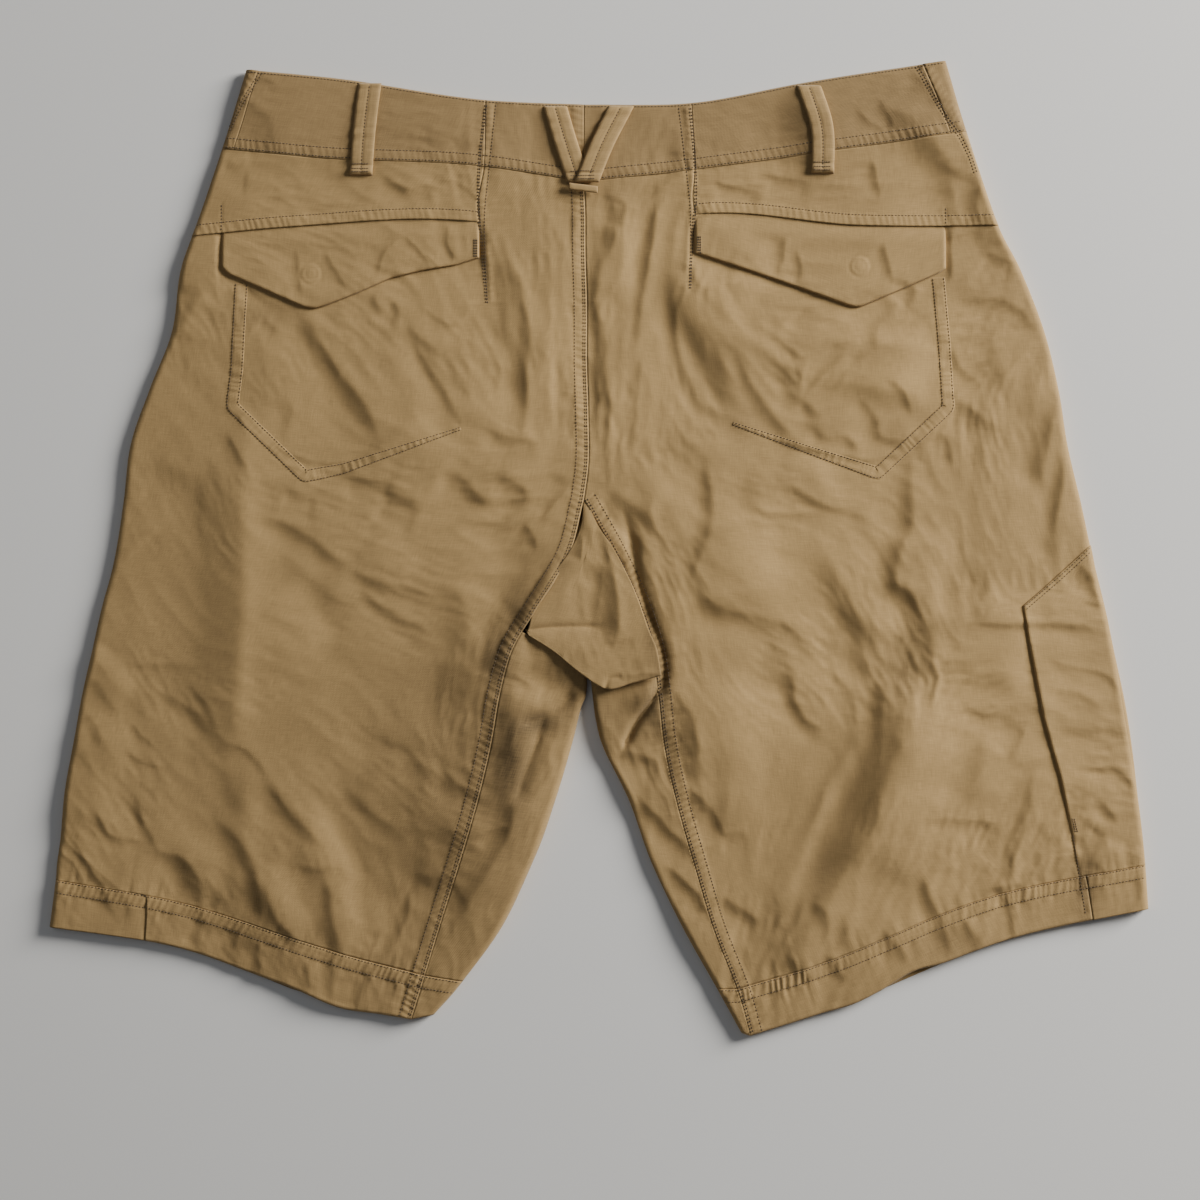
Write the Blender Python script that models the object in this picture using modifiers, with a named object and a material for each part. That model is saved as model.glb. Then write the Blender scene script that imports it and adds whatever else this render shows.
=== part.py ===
"""Cargo shorts in light canvas, laid flat on a surface with the back upwards.

Frame: +X to the right of the laid garment, +Y towards its waist, +Z up, origin on the surface at the
middle of the garment's box. Plan sizes in the tables are millimetres; MM turns them into metres.

The upper layer is cut into the maker's pieces. Each piece is a grid of points: its plan comes from the
section tables, its height from one height function that every piece shares, and Solidify gives it the
thickness of the cloth. The under layer lies flat on the surface.
"""
import bpy
import bmesh
import numpy as np
from mathutils import Vector
from mathutils.bvhtree import BVHTree

MM = 0.001

# ---------------------------------------------------------------- driving dimensions, millimetres
CLOTH = 1.2                # wall of one layer of cloth
DOUBLE = 1.7               # wall where the cloth is doubled: waistband, flaps, hems, belt loops
SEAM_INSET = 0.2           # each piece stops this far short of a seam line
UNDER_INSET = 1.7          # the under layer stops this far inside the outline
UNDER_WALL = 1.1           # wall of the under layer
CENTRE_INSET = 0.5         # the front pieces stop this far short of the centre front
LAYER_GAP = 0.5            # air between a piece and what it lies on
REST_HEIGHT = 6.0          # top of the upper layer where nothing lifts or presses it
LOFT = 1.0                 # further rise of the cloth in the middle of the seat and the legs
LOWEST_TOP = 3.0           # the upper layer never sinks below this
PRESS_SOFTNESS = 0.8       # how gently it comes to that lowest height
EDGE_TOP = 2.1             # height of the rolled edge at the outline
ROLL = 8.0                 # width over which the cloth rolls down to that edge
LOOP_WIDTH = 15.0          # belt loops
LOOP_LIFT = 2.6            # how far a belt loop stands off the band between its ends
FLAP_RECESS = 1.6          # how far the panel lies lower under a flap
RECESS_FADE = 14.0         # width over which it comes back up
BAND_CALM = 0.35           # share of each fold that is left in the waistband and the hems
CELL = 12.0                # length of a grid cell on the large panels
UNDER_CELL = 26.0          # the same on the under layer
TOP_RISE = 0.5             # the doubled waistband and the yoke's doubled lower edge stand this much higher
HEM_RISE = 0.2             # the same for the hems
FRONT_LOOP_WALL = 1.0      # the belt loops that lie under the front waistband
UNDER_COLUMNS = (0.7, 1.3, 2.0, 2.35)   # grid columns of the under layer between outline and centre
TURN_COLUMNS = (0.12, 0.04, 0.015)      # the same on a front piece, close to the edge it turns round
TURNED_COLUMNS = (0.02, 0.06)           # and above, just past that edge
TURN_LEVELS = (0.5, 1.1)   # heights at that edge, in walls above the bottom
EDGE_COLUMNS = (0.03, 0.08)             # on the upper layer, where it rolls down to the outline
INSEAM_COLUMNS = (3.82, 3.93)
COLOUR = (0.42, 0.29, 0.15, 1.0)
UNDER_COLOUR = (0.38, 0.26, 0.135, 1.0)
LOOP_COLOUR = (0.44, 0.31, 0.165, 1.0)

# ---------------------------------------------------------------- sections across each half, millimetres
# name, edge (outline), side, dart seam, centre back or gusset seam, inseam (outline between the legs)
LEFT_SECTIONS = (
    # name         edge          side          dart          seam          inseam
    ("waist",      (-233, 316),  (-171, 310),  (-75, 296),   (-10, 293),   (-10, 293)),
    ("band_seam",  (-249, 264),  (-190, 258),  (-76, 252),   (-10, 242),   (-10, 242)),
    ("yoke_stitch", (-266, 214), (-205, 219),  (-80, 223),   (-9, 214),    (-9, 214)),
    ("yoke_seam",  (-269, 206),  (-205, 212),  (-79, 215),   (-9, 201),    (-9, 201)),
    ("flap_tip",   (-277, 181),  (-210, 177),  (-74, 171),   (-8, 161),    (-8, 161)),
    ("dart_end",   (-282, 144),  (-215, 142),  (-72, 138),   (-8, 124),    (-8, 124)),
    ("pocket_mid", (-297, 105),  (-222, 102),  (-68, 98),    (-7, 88),     (-7, 88)),
    ("seat",       (-310, 66),   (-228, 62),   (-63, 58),    (-7, 55),     (-7, 55)),
    ("rise",       (-314, 32),   (-233, 31),   (-64, 31),    (-10, 32),    (-10, 32)),
    ("crotch",     (-321, -11),  (-245, -13),  (-75, -15),   (-21, -7),    (-9, -30)),
    ("thigh_1",    (-329, -41),  (-255, -44),  (-88, -45),   (-43, -43),   (-9, -62)),
    ("thigh_2",    (-335, -68),  (-262, -71),  (-100, -71),  (-57, -67),   (-8, -93)),
    ("thigh_3",    (-341, -94),  (-268, -99),  (-110, -99),  (-65, -95),   (-12, -106)),
    ("thigh_4",    (-347, -127), (-275, -133), (-118, -134), (-71, -129),  (-18, -130)),
    ("leg_1",      (-353, -160), (-280, -168), (-125, -170), (-80, -167),  (-29, -167)),
    ("leg_2",      (-356, -193), (-288, -203), (-138, -214), (-92, -208),  (-44, -208)),
    ("leg_3",      (-358, -207), (-292, -217), (-148, -243), (-104, -246), (-64, -250)),
    ("hem_stitch", (-359, -219), (-285, -232), (-158, -271), (-115, -282), (-90, -286)),
    ("hem_edge",   (-363, -250), (-285, -262), (-163, -304), (-124, -311), (-109, -308)),
)
RIGHT_SECTIONS = (
    ("waist",      (229, 322),   (133, 307),   (61, 294),    (-10, 293),   (-10, 293)),
    ("band_seam",  (243, 275),   (173, 265),   (63, 250),    (-10, 242),   (-10, 242)),
    ("yoke_stitch", (261, 221),  (173, 220),   (62, 227),    (-9, 214),    (-9, 214)),
    ("yoke_seam",  (264, 213),   (173, 213),   (63, 220),    (-9, 201),    (-9, 201)),
    ("flap_tip",   (279, 183),   (183, 177),   (62, 171),    (-8, 161),    (-8, 161)),
    ("dart_end",   (294, 144),   (193, 141),   (61, 138),    (-8, 124),    (-8, 124)),
    ("pocket_mid", (304, 103),   (200, 100),   (59, 98),     (-7, 88),     (-7, 88)),
    ("seat",       (310, 66),    (203, 64),    (57, 58),     (-7, 55),     (-7, 55)),
    ("rise",       (318, 32),    (208, 31),    (58, 31),     (-10, 32),    (-10, 32)),
    ("crotch",     (326, -5),    (216, -8),    (71, -11),    (9, -2),      (-9, -30)),
    ("thigh_1",    (335, -42),   (223, -42),   (82, -42),    (26, -39),    (-8, -62)),
    ("thigh_2",    (341, -71),   (227, -71),   (90, -71),    (35, -68),    (-4, -100)),
    ("thigh_3",    (347, -99),   (231, -99),   (95, -101),   (39, -95),    (-2, -114)),
    ("thigh_4",    (352, -130),  (235, -132),  (99, -137),   (43, -130),   (3, -132)),
    ("leg_1",      (356, -164),  (239, -167),  (105, -175),  (51, -167),   (20, -167)),
    ("leg_2",      (359, -190),  (245, -201),  (117, -220),  (64, -213),   (37, -213)),
    ("leg_3",      (360, -198),  (256, -213),  (126, -248),  (75, -250),   (55, -250)),
    ("hem_stitch", (361, -209),  (266, -228),  (135, -278),  (91, -291),   (78, -291)),
    ("hem_edge",   (363, -238),  (275, -257),  (150, -306),  (100, -322),  (94, -320)),
)
EDGE, DART, SEAM, INSEAM = 0, 2, 3, 4
ROW = {section[0]: number for number, section in enumerate(LEFT_SECTIONS)}

# ---------------------------------------------------------------- folds, millimetres
# A fold runs through three points. Its crest is height above the cloth, or below it where negative.
# lit is its width on the side towards the waist and the right, shade its width on the other side.
FOLDS = (
    # name                    start         middle        end           height lit shade
    ("left_leg_long_step",    (-240, 81),   (-244, -34),  (-246, -144), 6.0,   36, 10),
    ("left_thigh_sag",        (-223, 22),   (-165, -15),  (-112, -31),  -4.0,  12, 12),
    ("left_thigh_sag_low",    (-158, -28),  (-135, -46),  (-104, -65),  -3.5,  12, 10),
    ("left_knee_crest",       (-241, -123), (-212, -148), (-183, -188), 5.0,   26, 11),
    ("left_outer_crest",      (-298, -157), (-280, -197), (-256, -233), 5.0,   22, 11),
    ("left_hem_crest_outer",  (-239, -179), (-223, -207), (-213, -236), 3.5,   16, 10),
    ("left_hem_crest_middle", (-209, -212), (-196, -236), (-186, -256), 3.5,   14, 10),
    ("left_hem_crest_inner",  (-169, -220), (-163, -253), (-165, -289), 4.0,   16, 10),
    ("left_pocket_dip",       (-196, 154),  (-168, 111),  (-145, 73),   -3.5,  13, 11),
    ("left_pocket_dip_inner", (-123, 144),  (-105, 111),  (-90, 85),    -3.5,  12, 10),
    ("left_dart_valley",      (-62, 189),   (-51, 144),   (-50, 77),    -4.5,  13, 10),
    ("left_seat_pull",        (-16, 46),    (-28, 32),    (-42, 16),    -3.0,  9,  9),
    ("right_dart_valley",     (46, 192),    (50, 164),    (63, 129),    -4.5,  11, 9),
    ("right_centre_valley",   (1, 234),     (9, 204),     (2, 161),     -3.5,  12, 10),
    ("right_centre_crest",    (37, 230),    (18, 204),    (7, 183),     2.5,   9,  9),
    ("right_centre_wrinkle",  (22, 158),    (23, 111),    (21, 62),     -2.5,  9,  9),
    ("right_seat_pull",       (9, 38),      (24, 25),     (38, 19),     -3.0,  9,  9),
    ("right_seat_wrinkle",    (67, 58),     (69, 32),     (71, 5),      -2.5,  9,  9),
    ("right_thigh_valley",    (201, 62),    (201, 19),    (190, -28),   -4.5,  14, 14),
    ("right_thigh_valley_low", (203, -38),  (210, -61),   (218, -101),  -3.0,  12, 12),
    ("right_side_wrinkle",    (298, 95),    (296, 58),    (298, -1),    -3.0,  10, 10),
    ("right_knee_wrinkle",    (122, -87),   (127, -107),  (143, -118),  -3.0,  10, 10),
    ("right_leg_valley",      (201, -77),   (194, -127),  (166, -175),  -6.5,  17, 17),
    ("right_leg_valley_low",  (166, -170),  (145, -213),  (117, -273),  -6.5,  14, 14),
    ("right_leg_crest",       (178, -97),   (155, -152),  (132, -188),  4.0,   15, 12),
    ("crotch_trough",         (-28, -16),   (-47, -42),   (-67, -75),   -5.0,  10, 20),
    ("gusset_left_fold",      (-16, -93),   (-31, -106),  (-50, -115),  5.0,   22, 7),
    ("gusset_left_furrow",    (-57, -130),  (-68, -180),  (-84, -232),  -3.0,  9,  8),
)

FOLD_STEPS = 17            # points along a fold's line
FOLD_RUN_OUT = 0.12        # a fold fades out this share of its length past its ends
FOLD_FADE = 0.3            # and comes to its full height within this share
UNEVENNESS = 0.5           # height of the slow waves of the laid cloth
LONG_WAVES = (31.0, 53.0, 37.0, 71.0)    # their lengths over 2 pi
SHORT_WAVES = (17.0, 23.0)

# ---------------------------------------------------------------- pieces that lie on the panels
# A flap hangs from the yoke seam; its lower edge runs through these points, from its left to its right.
LEFT_FLAP_EDGE = ((-249, 187), (-234, 178), (-204, 163), (-188, 159), (-165, 167), (-138, 178),
                  (-112, 184), (-81, 191))
RIGHT_FLAP_EDGE = ((65, 190), (94, 181), (133, 170), (160, 161), (171, 160), (200, 169), (216, 178),
                   (229, 185))
FLAP_ROWS = 4
FLAP_COLUMNS = 14
FLAP_POINT_RISE = 0.8      # how much its lower edge stands higher
SNAP_RADIUS = 6.0
SNAP_RISE = 0.9
LEFT_SNAP = (-192, 182)
RIGHT_SNAP = (172, 184)
# The stitched edge of a pocket bag: a raised band along these points.
LEFT_POCKET_EDGE = ((-236, 171), (-239, 138), (-243, 93), (-219, 70), (-196, 50), (-168, 54), (-131, 66),
                    (-92, 79))
RIGHT_POCKET_EDGE = ((221, 173), (225, 134), (229, 94), (207, 74), (184, 52), (162, 55), (133, 64),
                     (90, 80))
POCKET_BAND = 8.0
POCKET_WALL = 1.0
POCKET_STEPS = 40
# Cargo pocket on the outside of the right leg, from its slanted top seam down its open back edge.
CARGO_POCKET = (
    # place        edge          opening
    ("top",        (325, 2),     (322, 0)),
    ("slant",      (332, -32),   (292, -27)),
    ("corner",     (334, -38),   (279, -38)),
    ("opening_1",  (341, -72),   (286, -70)),
    ("opening_2",  (348, -112),  (296, -112)),
    ("opening_3",  (354, -150),  (304, -151)),
    ("bar_tack",   (359, -188),  (311, -189)),
    ("hem",        (361, -209),  (316, -217)),
)
CARGO_TOP = CARGO_POCKET[0][1][1]
CARGO_HEM = CARGO_POCKET[-1][1][1]
COVERED_INSET = 5.5        # the right back panel stops this far inside the outline under the cargo pocket
COVERED_SHARE = 0.7        # and its next grid column moves by this share of that
COVERED_FROM = 2.5         # it does so from this far above the pocket's top
CARGO_LIFT = 3.4           # the open edge stands this far above the panel
CARGO_ROW_COLUMNS = (0.03, 0.09, 0.2, 0.4, 0.6, 0.8, 1.0)
CARGO_TURN_UNDER = 62.0    # how far the pocket reaches on the under layer
CARGO_UNDER_STEPS = (25.0, 8.0, 2.0)
CARGO_HEM_SLOPE = 0.17     # how much its lower end falls towards the inseam there
CARGO_OPEN = (1.6, 6.2)    # it stands open between these rows of the table
# Belt loops on the band.
BELT_LOOPS = (
    # name                  top          bend         bottom       further lift at its foot
    ("belt_loop_left",      (-152, 306), (-155, 278), (-157, 246), 0.0),
    ("belt_loop_right",     (140, 307),  (145, 276),  (147, 247),  0.0),
    ("belt_loop_v_left",    (-29, 292),  (-24, 268),  (-14, 240),  0.0),
    ("belt_loop_v_right",   (15, 292),   (5, 268),    (-6, 242),   3.2),
)
LOOP_STEPS = 9
LOOP_FOLD = 6.0            # length of the folded end at the foot of a loop
LOOP_FOLD_RISE = 0.9       # and how much it stands higher
FRONT_LOOPS = (("belt_loop_front_left", -120.0, 298.0), ("belt_loop_front_right", 110.0, 298.0))
FRONT_LOOP_LENGTH = 40.0
# Gusset centre: left, middle and right of each row in plan, and their heights
GUSSET_CENTRE = (
    # row        left         middle      right       heights
    ("apex",     (-11, 26),   (-10, 26),  (-9, 26),   (6.2, 6.4, 6.2)),
    ("seam_1",   (-14, 12),   (-8, 12),   (-2, 14),   (6.6, 7.6, 7.0)),
    ("seam_2",   (-21, -6),   (-7, -6),   (8, -2),    (7.2, 9.6, 8.8)),
    ("seam_3",   (-32, -24),  (-7, -25),  (17, -20),  (8.4, 11.0, 11.4)),
    ("crease",   (-40, -38),  (-6, -43),  (25, -41),  (10.4, 10.6, 13.2)),
    ("tips",     (-45, -51),  (-3, -64),  (33, -64),  (13.0, 11.5, 14.0)),
    ("fold",     (-45, -56),  (4, -90),   (40, -83),  (13.5, 14.5, 13.5)),
)
GUSSET_TURN_DOWN = 4.0     # how far the folded edge turns down
GUSSET_TURN_IN = 1.2

HEM_JOIN_LEFT = 0.81       # column where the back hem meets the front hem, left and right leg
HEM_JOIN_RIGHT = 0.42
BAND_JOIN_LEFT = 0.13      # the same for the waistband
BAND_JOIN_RIGHT = 0.16


# ---------------------------------------------------------------- curves and plan
def smooth(at, knots, values):
    """Points at the parameters at, on a cubic through values at the rising knots."""
    slopes = np.gradient(values, knots, axis=0)
    cell = np.clip(np.searchsorted(knots, at, side="right") - 1, 0, len(knots) - 2)
    span = (knots[1:] - knots[:-1])[cell]
    t = (at - knots[cell]) / span
    shape = np.shape(at) + (1,) * (values.ndim - 1)
    t, span = t.reshape(shape), span.reshape(shape)
    return ((2 * t**3 - 3 * t**2 + 1) * values[cell] + (t**3 - 2 * t**2 + t) * span * slopes[cell]
            + (3 * t**2 - 2 * t**3) * values[cell + 1] + (t**3 - t**2) * span * slopes[cell + 1])


def curve(shares, points):
    """Points at shares, 0 to 1, of the length of a smooth curve through the given points."""
    points = np.array(points, float)
    knots = np.concatenate(([0], np.cumsum(np.linalg.norm(np.diff(points, axis=0), axis=1))))
    return smooth(np.asarray(shares) * knots[-1], knots, points)


class Half:
    """One half of the garment in plan: a point for each section row and column, both as real numbers."""

    def __init__(self, sections):
        self.table = np.array([section[1:] for section in sections], float)
        steps = np.linalg.norm(np.diff(self.table[:, :SEAM + 1], axis=0), axis=2).mean(axis=1)
        self.knots = np.concatenate(([0], np.cumsum(steps)))

    def row(self, name, millimetres=0.0):
        """Section number of a named row, moved towards the hem by some millimetres."""
        at = self.knots[ROW[name]] + millimetres
        return float(np.interp(at, self.knots, np.arange(len(self.knots))))

    def row_at_edge(self, y):
        """Section numbers at which the outline has the heights y in plan."""
        heights = self.table[::-1, EDGE, 1]
        return np.interp(y, heights, np.arange(len(self.knots))[::-1])

    def rows_between(self, first, last, cell=CELL):
        """Section numbers from first to last, spaced by about one cell."""
        start, end = np.interp((first, last), np.arange(len(self.knots)), self.knots)
        count = max(1, round((end - start) / cell))
        return np.interp(np.linspace(start, end, count + 1), self.knots, np.arange(len(self.knots)))

    def plan(self, rows, columns):
        """Plan points, shape (rows, columns, 2); the inner lines turn a corner where the gusset begins."""
        lengths = np.interp(rows, np.arange(len(self.knots)), self.knots)
        lines = smooth(lengths, self.knots, self.table)
        fork = ROW["rise"]
        above = smooth(lengths, self.knots[:fork + 1], self.table[:fork + 1, SEAM:])
        below = smooth(lengths, self.knots[fork:], self.table[fork:, SEAM:])
        lines[:, SEAM:] = np.where((lengths <= self.knots[fork])[:, None, None], above, below)
        grid = np.empty((len(rows), len(columns), 2))
        for number, line in enumerate(lines):
            spans = np.linalg.norm(np.diff(line[:SEAM + 1], axis=0), axis=1)
            knots = np.concatenate(([0], np.cumsum(spans)))
            cut = np.clip(columns, EDGE, SEAM)
            points = smooth(np.interp(cut, np.arange(SEAM + 1), knots), knots, line[:SEAM + 1])
            beyond = np.clip(np.array(columns) - SEAM, 0, 1)[:, None]
            grid[number] = points + beyond * (line[INSEAM] - line[SEAM])
        return grid


LEFT = Half(LEFT_SECTIONS)
RIGHT = Half(RIGHT_SECTIONS)


def inset(grid, left=0.0, right=0.0, top=0.0, bottom=0.0):
    """The plan grid with its outer rows and columns moved inwards along the grid lines."""
    moved = grid.copy()

    def towards(here, there, distance):
        step = there - here
        return here + distance * step / np.maximum(np.linalg.norm(step, axis=-1, keepdims=True), 1e-9)

    moved[:, 0] = towards(grid[:, 0], grid[:, 1], left)
    moved[:, -1] = towards(grid[:, -1], grid[:, -2], right)
    moved[0] = towards(moved[0], moved[1], top)
    moved[-1] = towards(moved[-1], moved[-2], bottom)
    return moved


# ---------------------------------------------------------------- height
def fold_height(x, y, fold):
    """Height that one fold adds: a bell across its line, fading towards its ends."""
    _, start, middle, end, height, lit, shade = fold
    line = curve(np.linspace(0, 1, FOLD_STEPS), (start, middle, end))
    tangent = np.gradient(line, axis=0)
    tangent /= np.linalg.norm(tangent, axis=1, keepdims=True)
    normal = np.stack((-tangent[:, 1], tangent[:, 0]), axis=1)
    chord = line[-1] - line[0]
    if -chord[1] + chord[0] < 0:
        normal = -normal
    offset = np.stack((x, y), axis=-1)[..., None, :] - line
    nearest = np.argmin((offset**2).sum(axis=-1), axis=-1)
    offset = np.take_along_axis(offset, nearest[..., None, None], axis=-2)[..., 0, :]
    across = (offset * normal[nearest]).sum(axis=-1)
    past = (offset * tangent[nearest]).sum(axis=-1)
    run = nearest / (len(line) - 1) + past / np.linalg.norm(np.diff(line, axis=0), axis=1).sum()
    width = np.where(across > 0, lit, shade)
    fade = np.clip(np.minimum(run + FOLD_RUN_OUT, 1 + FOLD_RUN_OUT - run) / FOLD_FADE, 0, 1)
    return height * np.exp(-(across / width)**2) * fade * fade * (3 - 2 * fade)


def undulation(x, y):
    """Slow unevenness of the laid cloth: two crossed waves, and a shorter one half as high."""
    a, b, c, d = LONG_WAVES
    e, f = SHORT_WAVES
    return UNEVENNESS * (np.sin(x / a + y / b) * np.sin(y / c - x / d) + 0.5 * np.sin(x / e - y / f))


def height(x, y, calm=1.0):
    """Top of the upper layer away from its edges; calm scales what the folds add."""
    shape = LOFT * np.exp(-((np.abs(x) - 150) / 110)**2 - (y / 210)**2) + undulation(x, y) * calm
    for fold in FOLDS:
        shape = shape + fold_height(x, y, fold) * calm
    above = REST_HEIGHT + shape - LOWEST_TOP
    return LOWEST_TOP + PRESS_SOFTNESS * np.logaddexp(0, above / PRESS_SOFTNESS)


def rolled(top, distance):
    """The height top brought down to the outline over the width of the roll."""
    t = np.clip(distance / ROLL, 0, 1)
    return EDGE_TOP + (top - EDGE_TOP) * np.sqrt(1 - (1 - t)**2)


def flap_bottom(edge, x):
    """Height in plan of a flap's lower edge at x."""
    edge = np.array(edge, float)
    return smooth(x, edge[:, 0], edge[:, 1])


def recess(x, y):
    """How far the panel lies lower under the two flaps."""
    depth = 0
    for edge, half in ((LEFT_FLAP_EDGE, LEFT), (RIGHT_FLAP_EDGE, RIGHT)):
        first, last = edge[0][0], edge[-1][0]
        below = flap_bottom(edge, np.clip(x, first, last)) - y
        outside = np.maximum(np.maximum(first - x, x - last), 0)
        fade = np.clip(1 - np.hypot(np.maximum(below, 0), outside) / RECESS_FADE, 0, 1)
        depth = depth + FLAP_RECESS * fade * fade * (3 - 2 * fade)
    return depth


def lifted(grid, half, rows, calm=1.0, raised=0.0, roll_edge=True, roll_inseam=False, under_flap=False):
    """A plan grid with the height of the upper layer; its edges roll down to the outline."""
    x, y = grid[..., 0], grid[..., 1]
    z = height(x, y, calm) + raised
    if under_flap:
        z = z - recess(x, y)
    outline = half.plan(rows, (EDGE, INSEAM))
    if roll_edge:
        z = rolled(z, np.linalg.norm(grid - outline[:, :1], axis=-1))
    if roll_inseam:
        z = rolled(z, np.linalg.norm(grid - outline[:, 1:], axis=-1))
    return np.dstack((x, y, z))


# ---------------------------------------------------------------- making pieces
def cloth_material(name, colour):
    """Plain matt canvas."""
    material = bpy.data.materials.new(name)
    material.use_nodes = True
    shader = material.node_tree.nodes["Principled BSDF"]
    shader.inputs["Base Color"].default_value = colour
    shader.inputs["Roughness"].default_value = 0.85
    shader.inputs["Metallic"].default_value = 0.0
    return material


def piece(name, points, wall=CLOTH, colour=COLOUR, without=None, upwards=True):
    """A cloth piece: a grid of outer points in millimetres, given its wall on the inner side."""
    rows, columns = points.shape[:2]
    mesh = bpy.data.meshes.new(name)
    shape = bmesh.new()
    bmesh.ops.create_grid(shape, x_segments=columns - 1, y_segments=rows - 1, size=1.0)
    shape.verts.ensure_lookup_table()
    for vertex, point in zip(shape.verts, points.reshape(-1, 3)):
        vertex.co = point * MM
    if without is not None:
        shape.faces.ensure_lookup_table()
        gone = [face for face, cut in zip(shape.faces, without.ravel()) if cut]
        bmesh.ops.delete(shape, geom=gone, context="FACES")
    shape.normal_update()
    tilt = sum(face.normal.z * face.calc_area() for face in shape.faces)
    if (tilt > 0) != upwards:
        bmesh.ops.reverse_faces(shape, faces=shape.faces[:])
    shape.to_mesh(mesh)
    shape.free()
    mesh.shade_smooth()
    item = bpy.data.objects.new(name, mesh)
    mesh.materials.append(cloth_material(name + "_canvas", colour))
    solidify = item.modifiers.new("wall", "SOLIDIFY")
    solidify.thickness = wall * MM
    solidify.offset = -1.0
    SHORTS.objects.link(item)
    return item


def top_of(names, x, y):
    """Height of the named pieces' outer faces at plan points, looked for straight down; 0 beside them."""
    trees = []
    for name in names:
        shape = bmesh.new()
        shape.from_mesh(bpy.data.objects[name].data)
        trees.append(BVHTree.FromBMesh(shape))
        shape.free()
    heights = np.zeros(x.size)
    for number, (across, along_y) in enumerate(zip(x.ravel(), y.ravel())):
        eye = Vector((across, along_y, 100.0)) * MM
        hits = [tree.ray_cast(eye, Vector((0, 0, -1)))[0] for tree in trees]
        levels = [hit.z / MM for hit in hits if hit is not None]
        if levels:
            heights[number] = max(levels)
    return heights.reshape(x.shape)


def columns_between(first, last, count):
    """Column numbers from first to last; extra ones lie close to an outline edge, where cloth rolls down."""
    columns = np.linspace(first, last, count + 1)
    if first == EDGE:
        columns = np.concatenate(((EDGE,) + EDGE_COLUMNS, columns[1:]))
    if last == INSEAM:
        columns = np.concatenate((columns[:-1], INSEAM_COLUMNS + (INSEAM,)))
    return columns


def back_panels():
    """The two back panels; each has a strip beside the centre back seam that reaches the waistband."""
    for name, half in (("back_panel_left", LEFT), ("back_panel_right", RIGHT)):
        upper = half.rows_between(half.row("band_seam"), half.row("yoke_seam"))
        lower = half.rows_between(half.row("yoke_seam"), half.row("hem_stitch"))
        rows = np.concatenate((upper[:-1], lower))
        if half is RIGHT:
            steps = CARGO_TOP + COVERED_FROM * np.array((1, 2))
            rows = np.sort(np.append(rows, half.row_at_edge(steps)))
        columns = np.concatenate((columns_between(EDGE, DART, 17), columns_between(DART, SEAM, 6)[1:]))
        grid = inset(half.plan(rows, columns), right=SEAM_INSET, top=SEAM_INSET, bottom=SEAM_INSET)
        if half is RIGHT:
            covered = grid[:, 0, 1] < CARGO_TOP + 1.5 * COVERED_FROM
            inwards = grid[covered, 3] - grid[covered, 0]
            inwards /= np.linalg.norm(inwards, axis=1, keepdims=True)
            grid[covered, 0] += COVERED_INSET * inwards
            grid[covered, 1] += COVERED_INSET * inwards * COVERED_SHARE
        points = lifted(grid, half, rows, under_flap=True)
        cut = np.zeros((len(rows) - 1, len(columns) - 1), bool)
        cut[:len(upper) - 1, :np.searchsorted(columns, DART)] = True
        piece(name, points, without=cut)


def yokes():
    """The yokes between waistband and flaps; their doubled lower edge stands a little higher."""
    for name, half in (("yoke_left", LEFT), ("yoke_right", RIGHT)):
        rows = np.append(half.rows_between(half.row("band_seam"), half.row("yoke_stitch"), 12),
                         half.row("yoke_seam", -3 * SEAM_INSET))
        columns = columns_between(EDGE, DART, 12)
        grid = inset(half.plan(rows, columns), right=2 * SEAM_INSET, top=SEAM_INSET)
        points = lifted(grid, half, rows)
        points[-2:, :, 2] += TOP_RISE
        piece(name, points)


def waistband():
    """Four back pieces, and two front pieces that turn round the sides."""
    for side, half, join in (("left", LEFT, BAND_JOIN_LEFT), ("right", RIGHT, BAND_JOIN_RIGHT)):
        rows = half.rows_between(half.row("waist"), half.row("band_seam"), 13)
        for part, columns in (("side", columns_between(join, DART, 9)),
                              ("centre", columns_between(DART, SEAM, 4))):
            grid = inset(half.plan(rows, columns), SEAM_INSET, SEAM_INSET, 0, SEAM_INSET)
            piece(f"waistband_back_{part}_{side}", lifted(grid, half, rows, BAND_CALM, TOP_RISE), DOUBLE)
        turned_piece(f"waistband_front_{side}", half, rows, join, SEAM, 1.3, DOUBLE)


def turned_piece(name, half, rows, join, reach, bottom, wall):
    """A piece that lies under the garment, turns round its outer edge and ends on top at the join column."""
    below = half.plan(rows, (reach,) + UNDER_COLUMNS[::-1] + TURN_COLUMNS)
    below = inset(below, left=SEAM_INSET, bottom=SEAM_INSET)
    edge = half.plan(rows, (EDGE,))
    top_columns = TURNED_COLUMNS + (0.6 * join, join)
    above = inset(half.plan(rows, top_columns), right=SEAM_INSET, bottom=SEAM_INSET)
    below = np.dstack((below, np.full(below.shape[:2], bottom)))
    above = lifted(above, half, rows, BAND_CALM, HEM_RISE)
    turn = [np.dstack((edge, np.full(edge.shape[:2], bottom + share * wall))) for share in TURN_LEVELS]
    piece(name, np.concatenate([below] + turn + [above], axis=1), wall, upwards=False)


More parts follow.
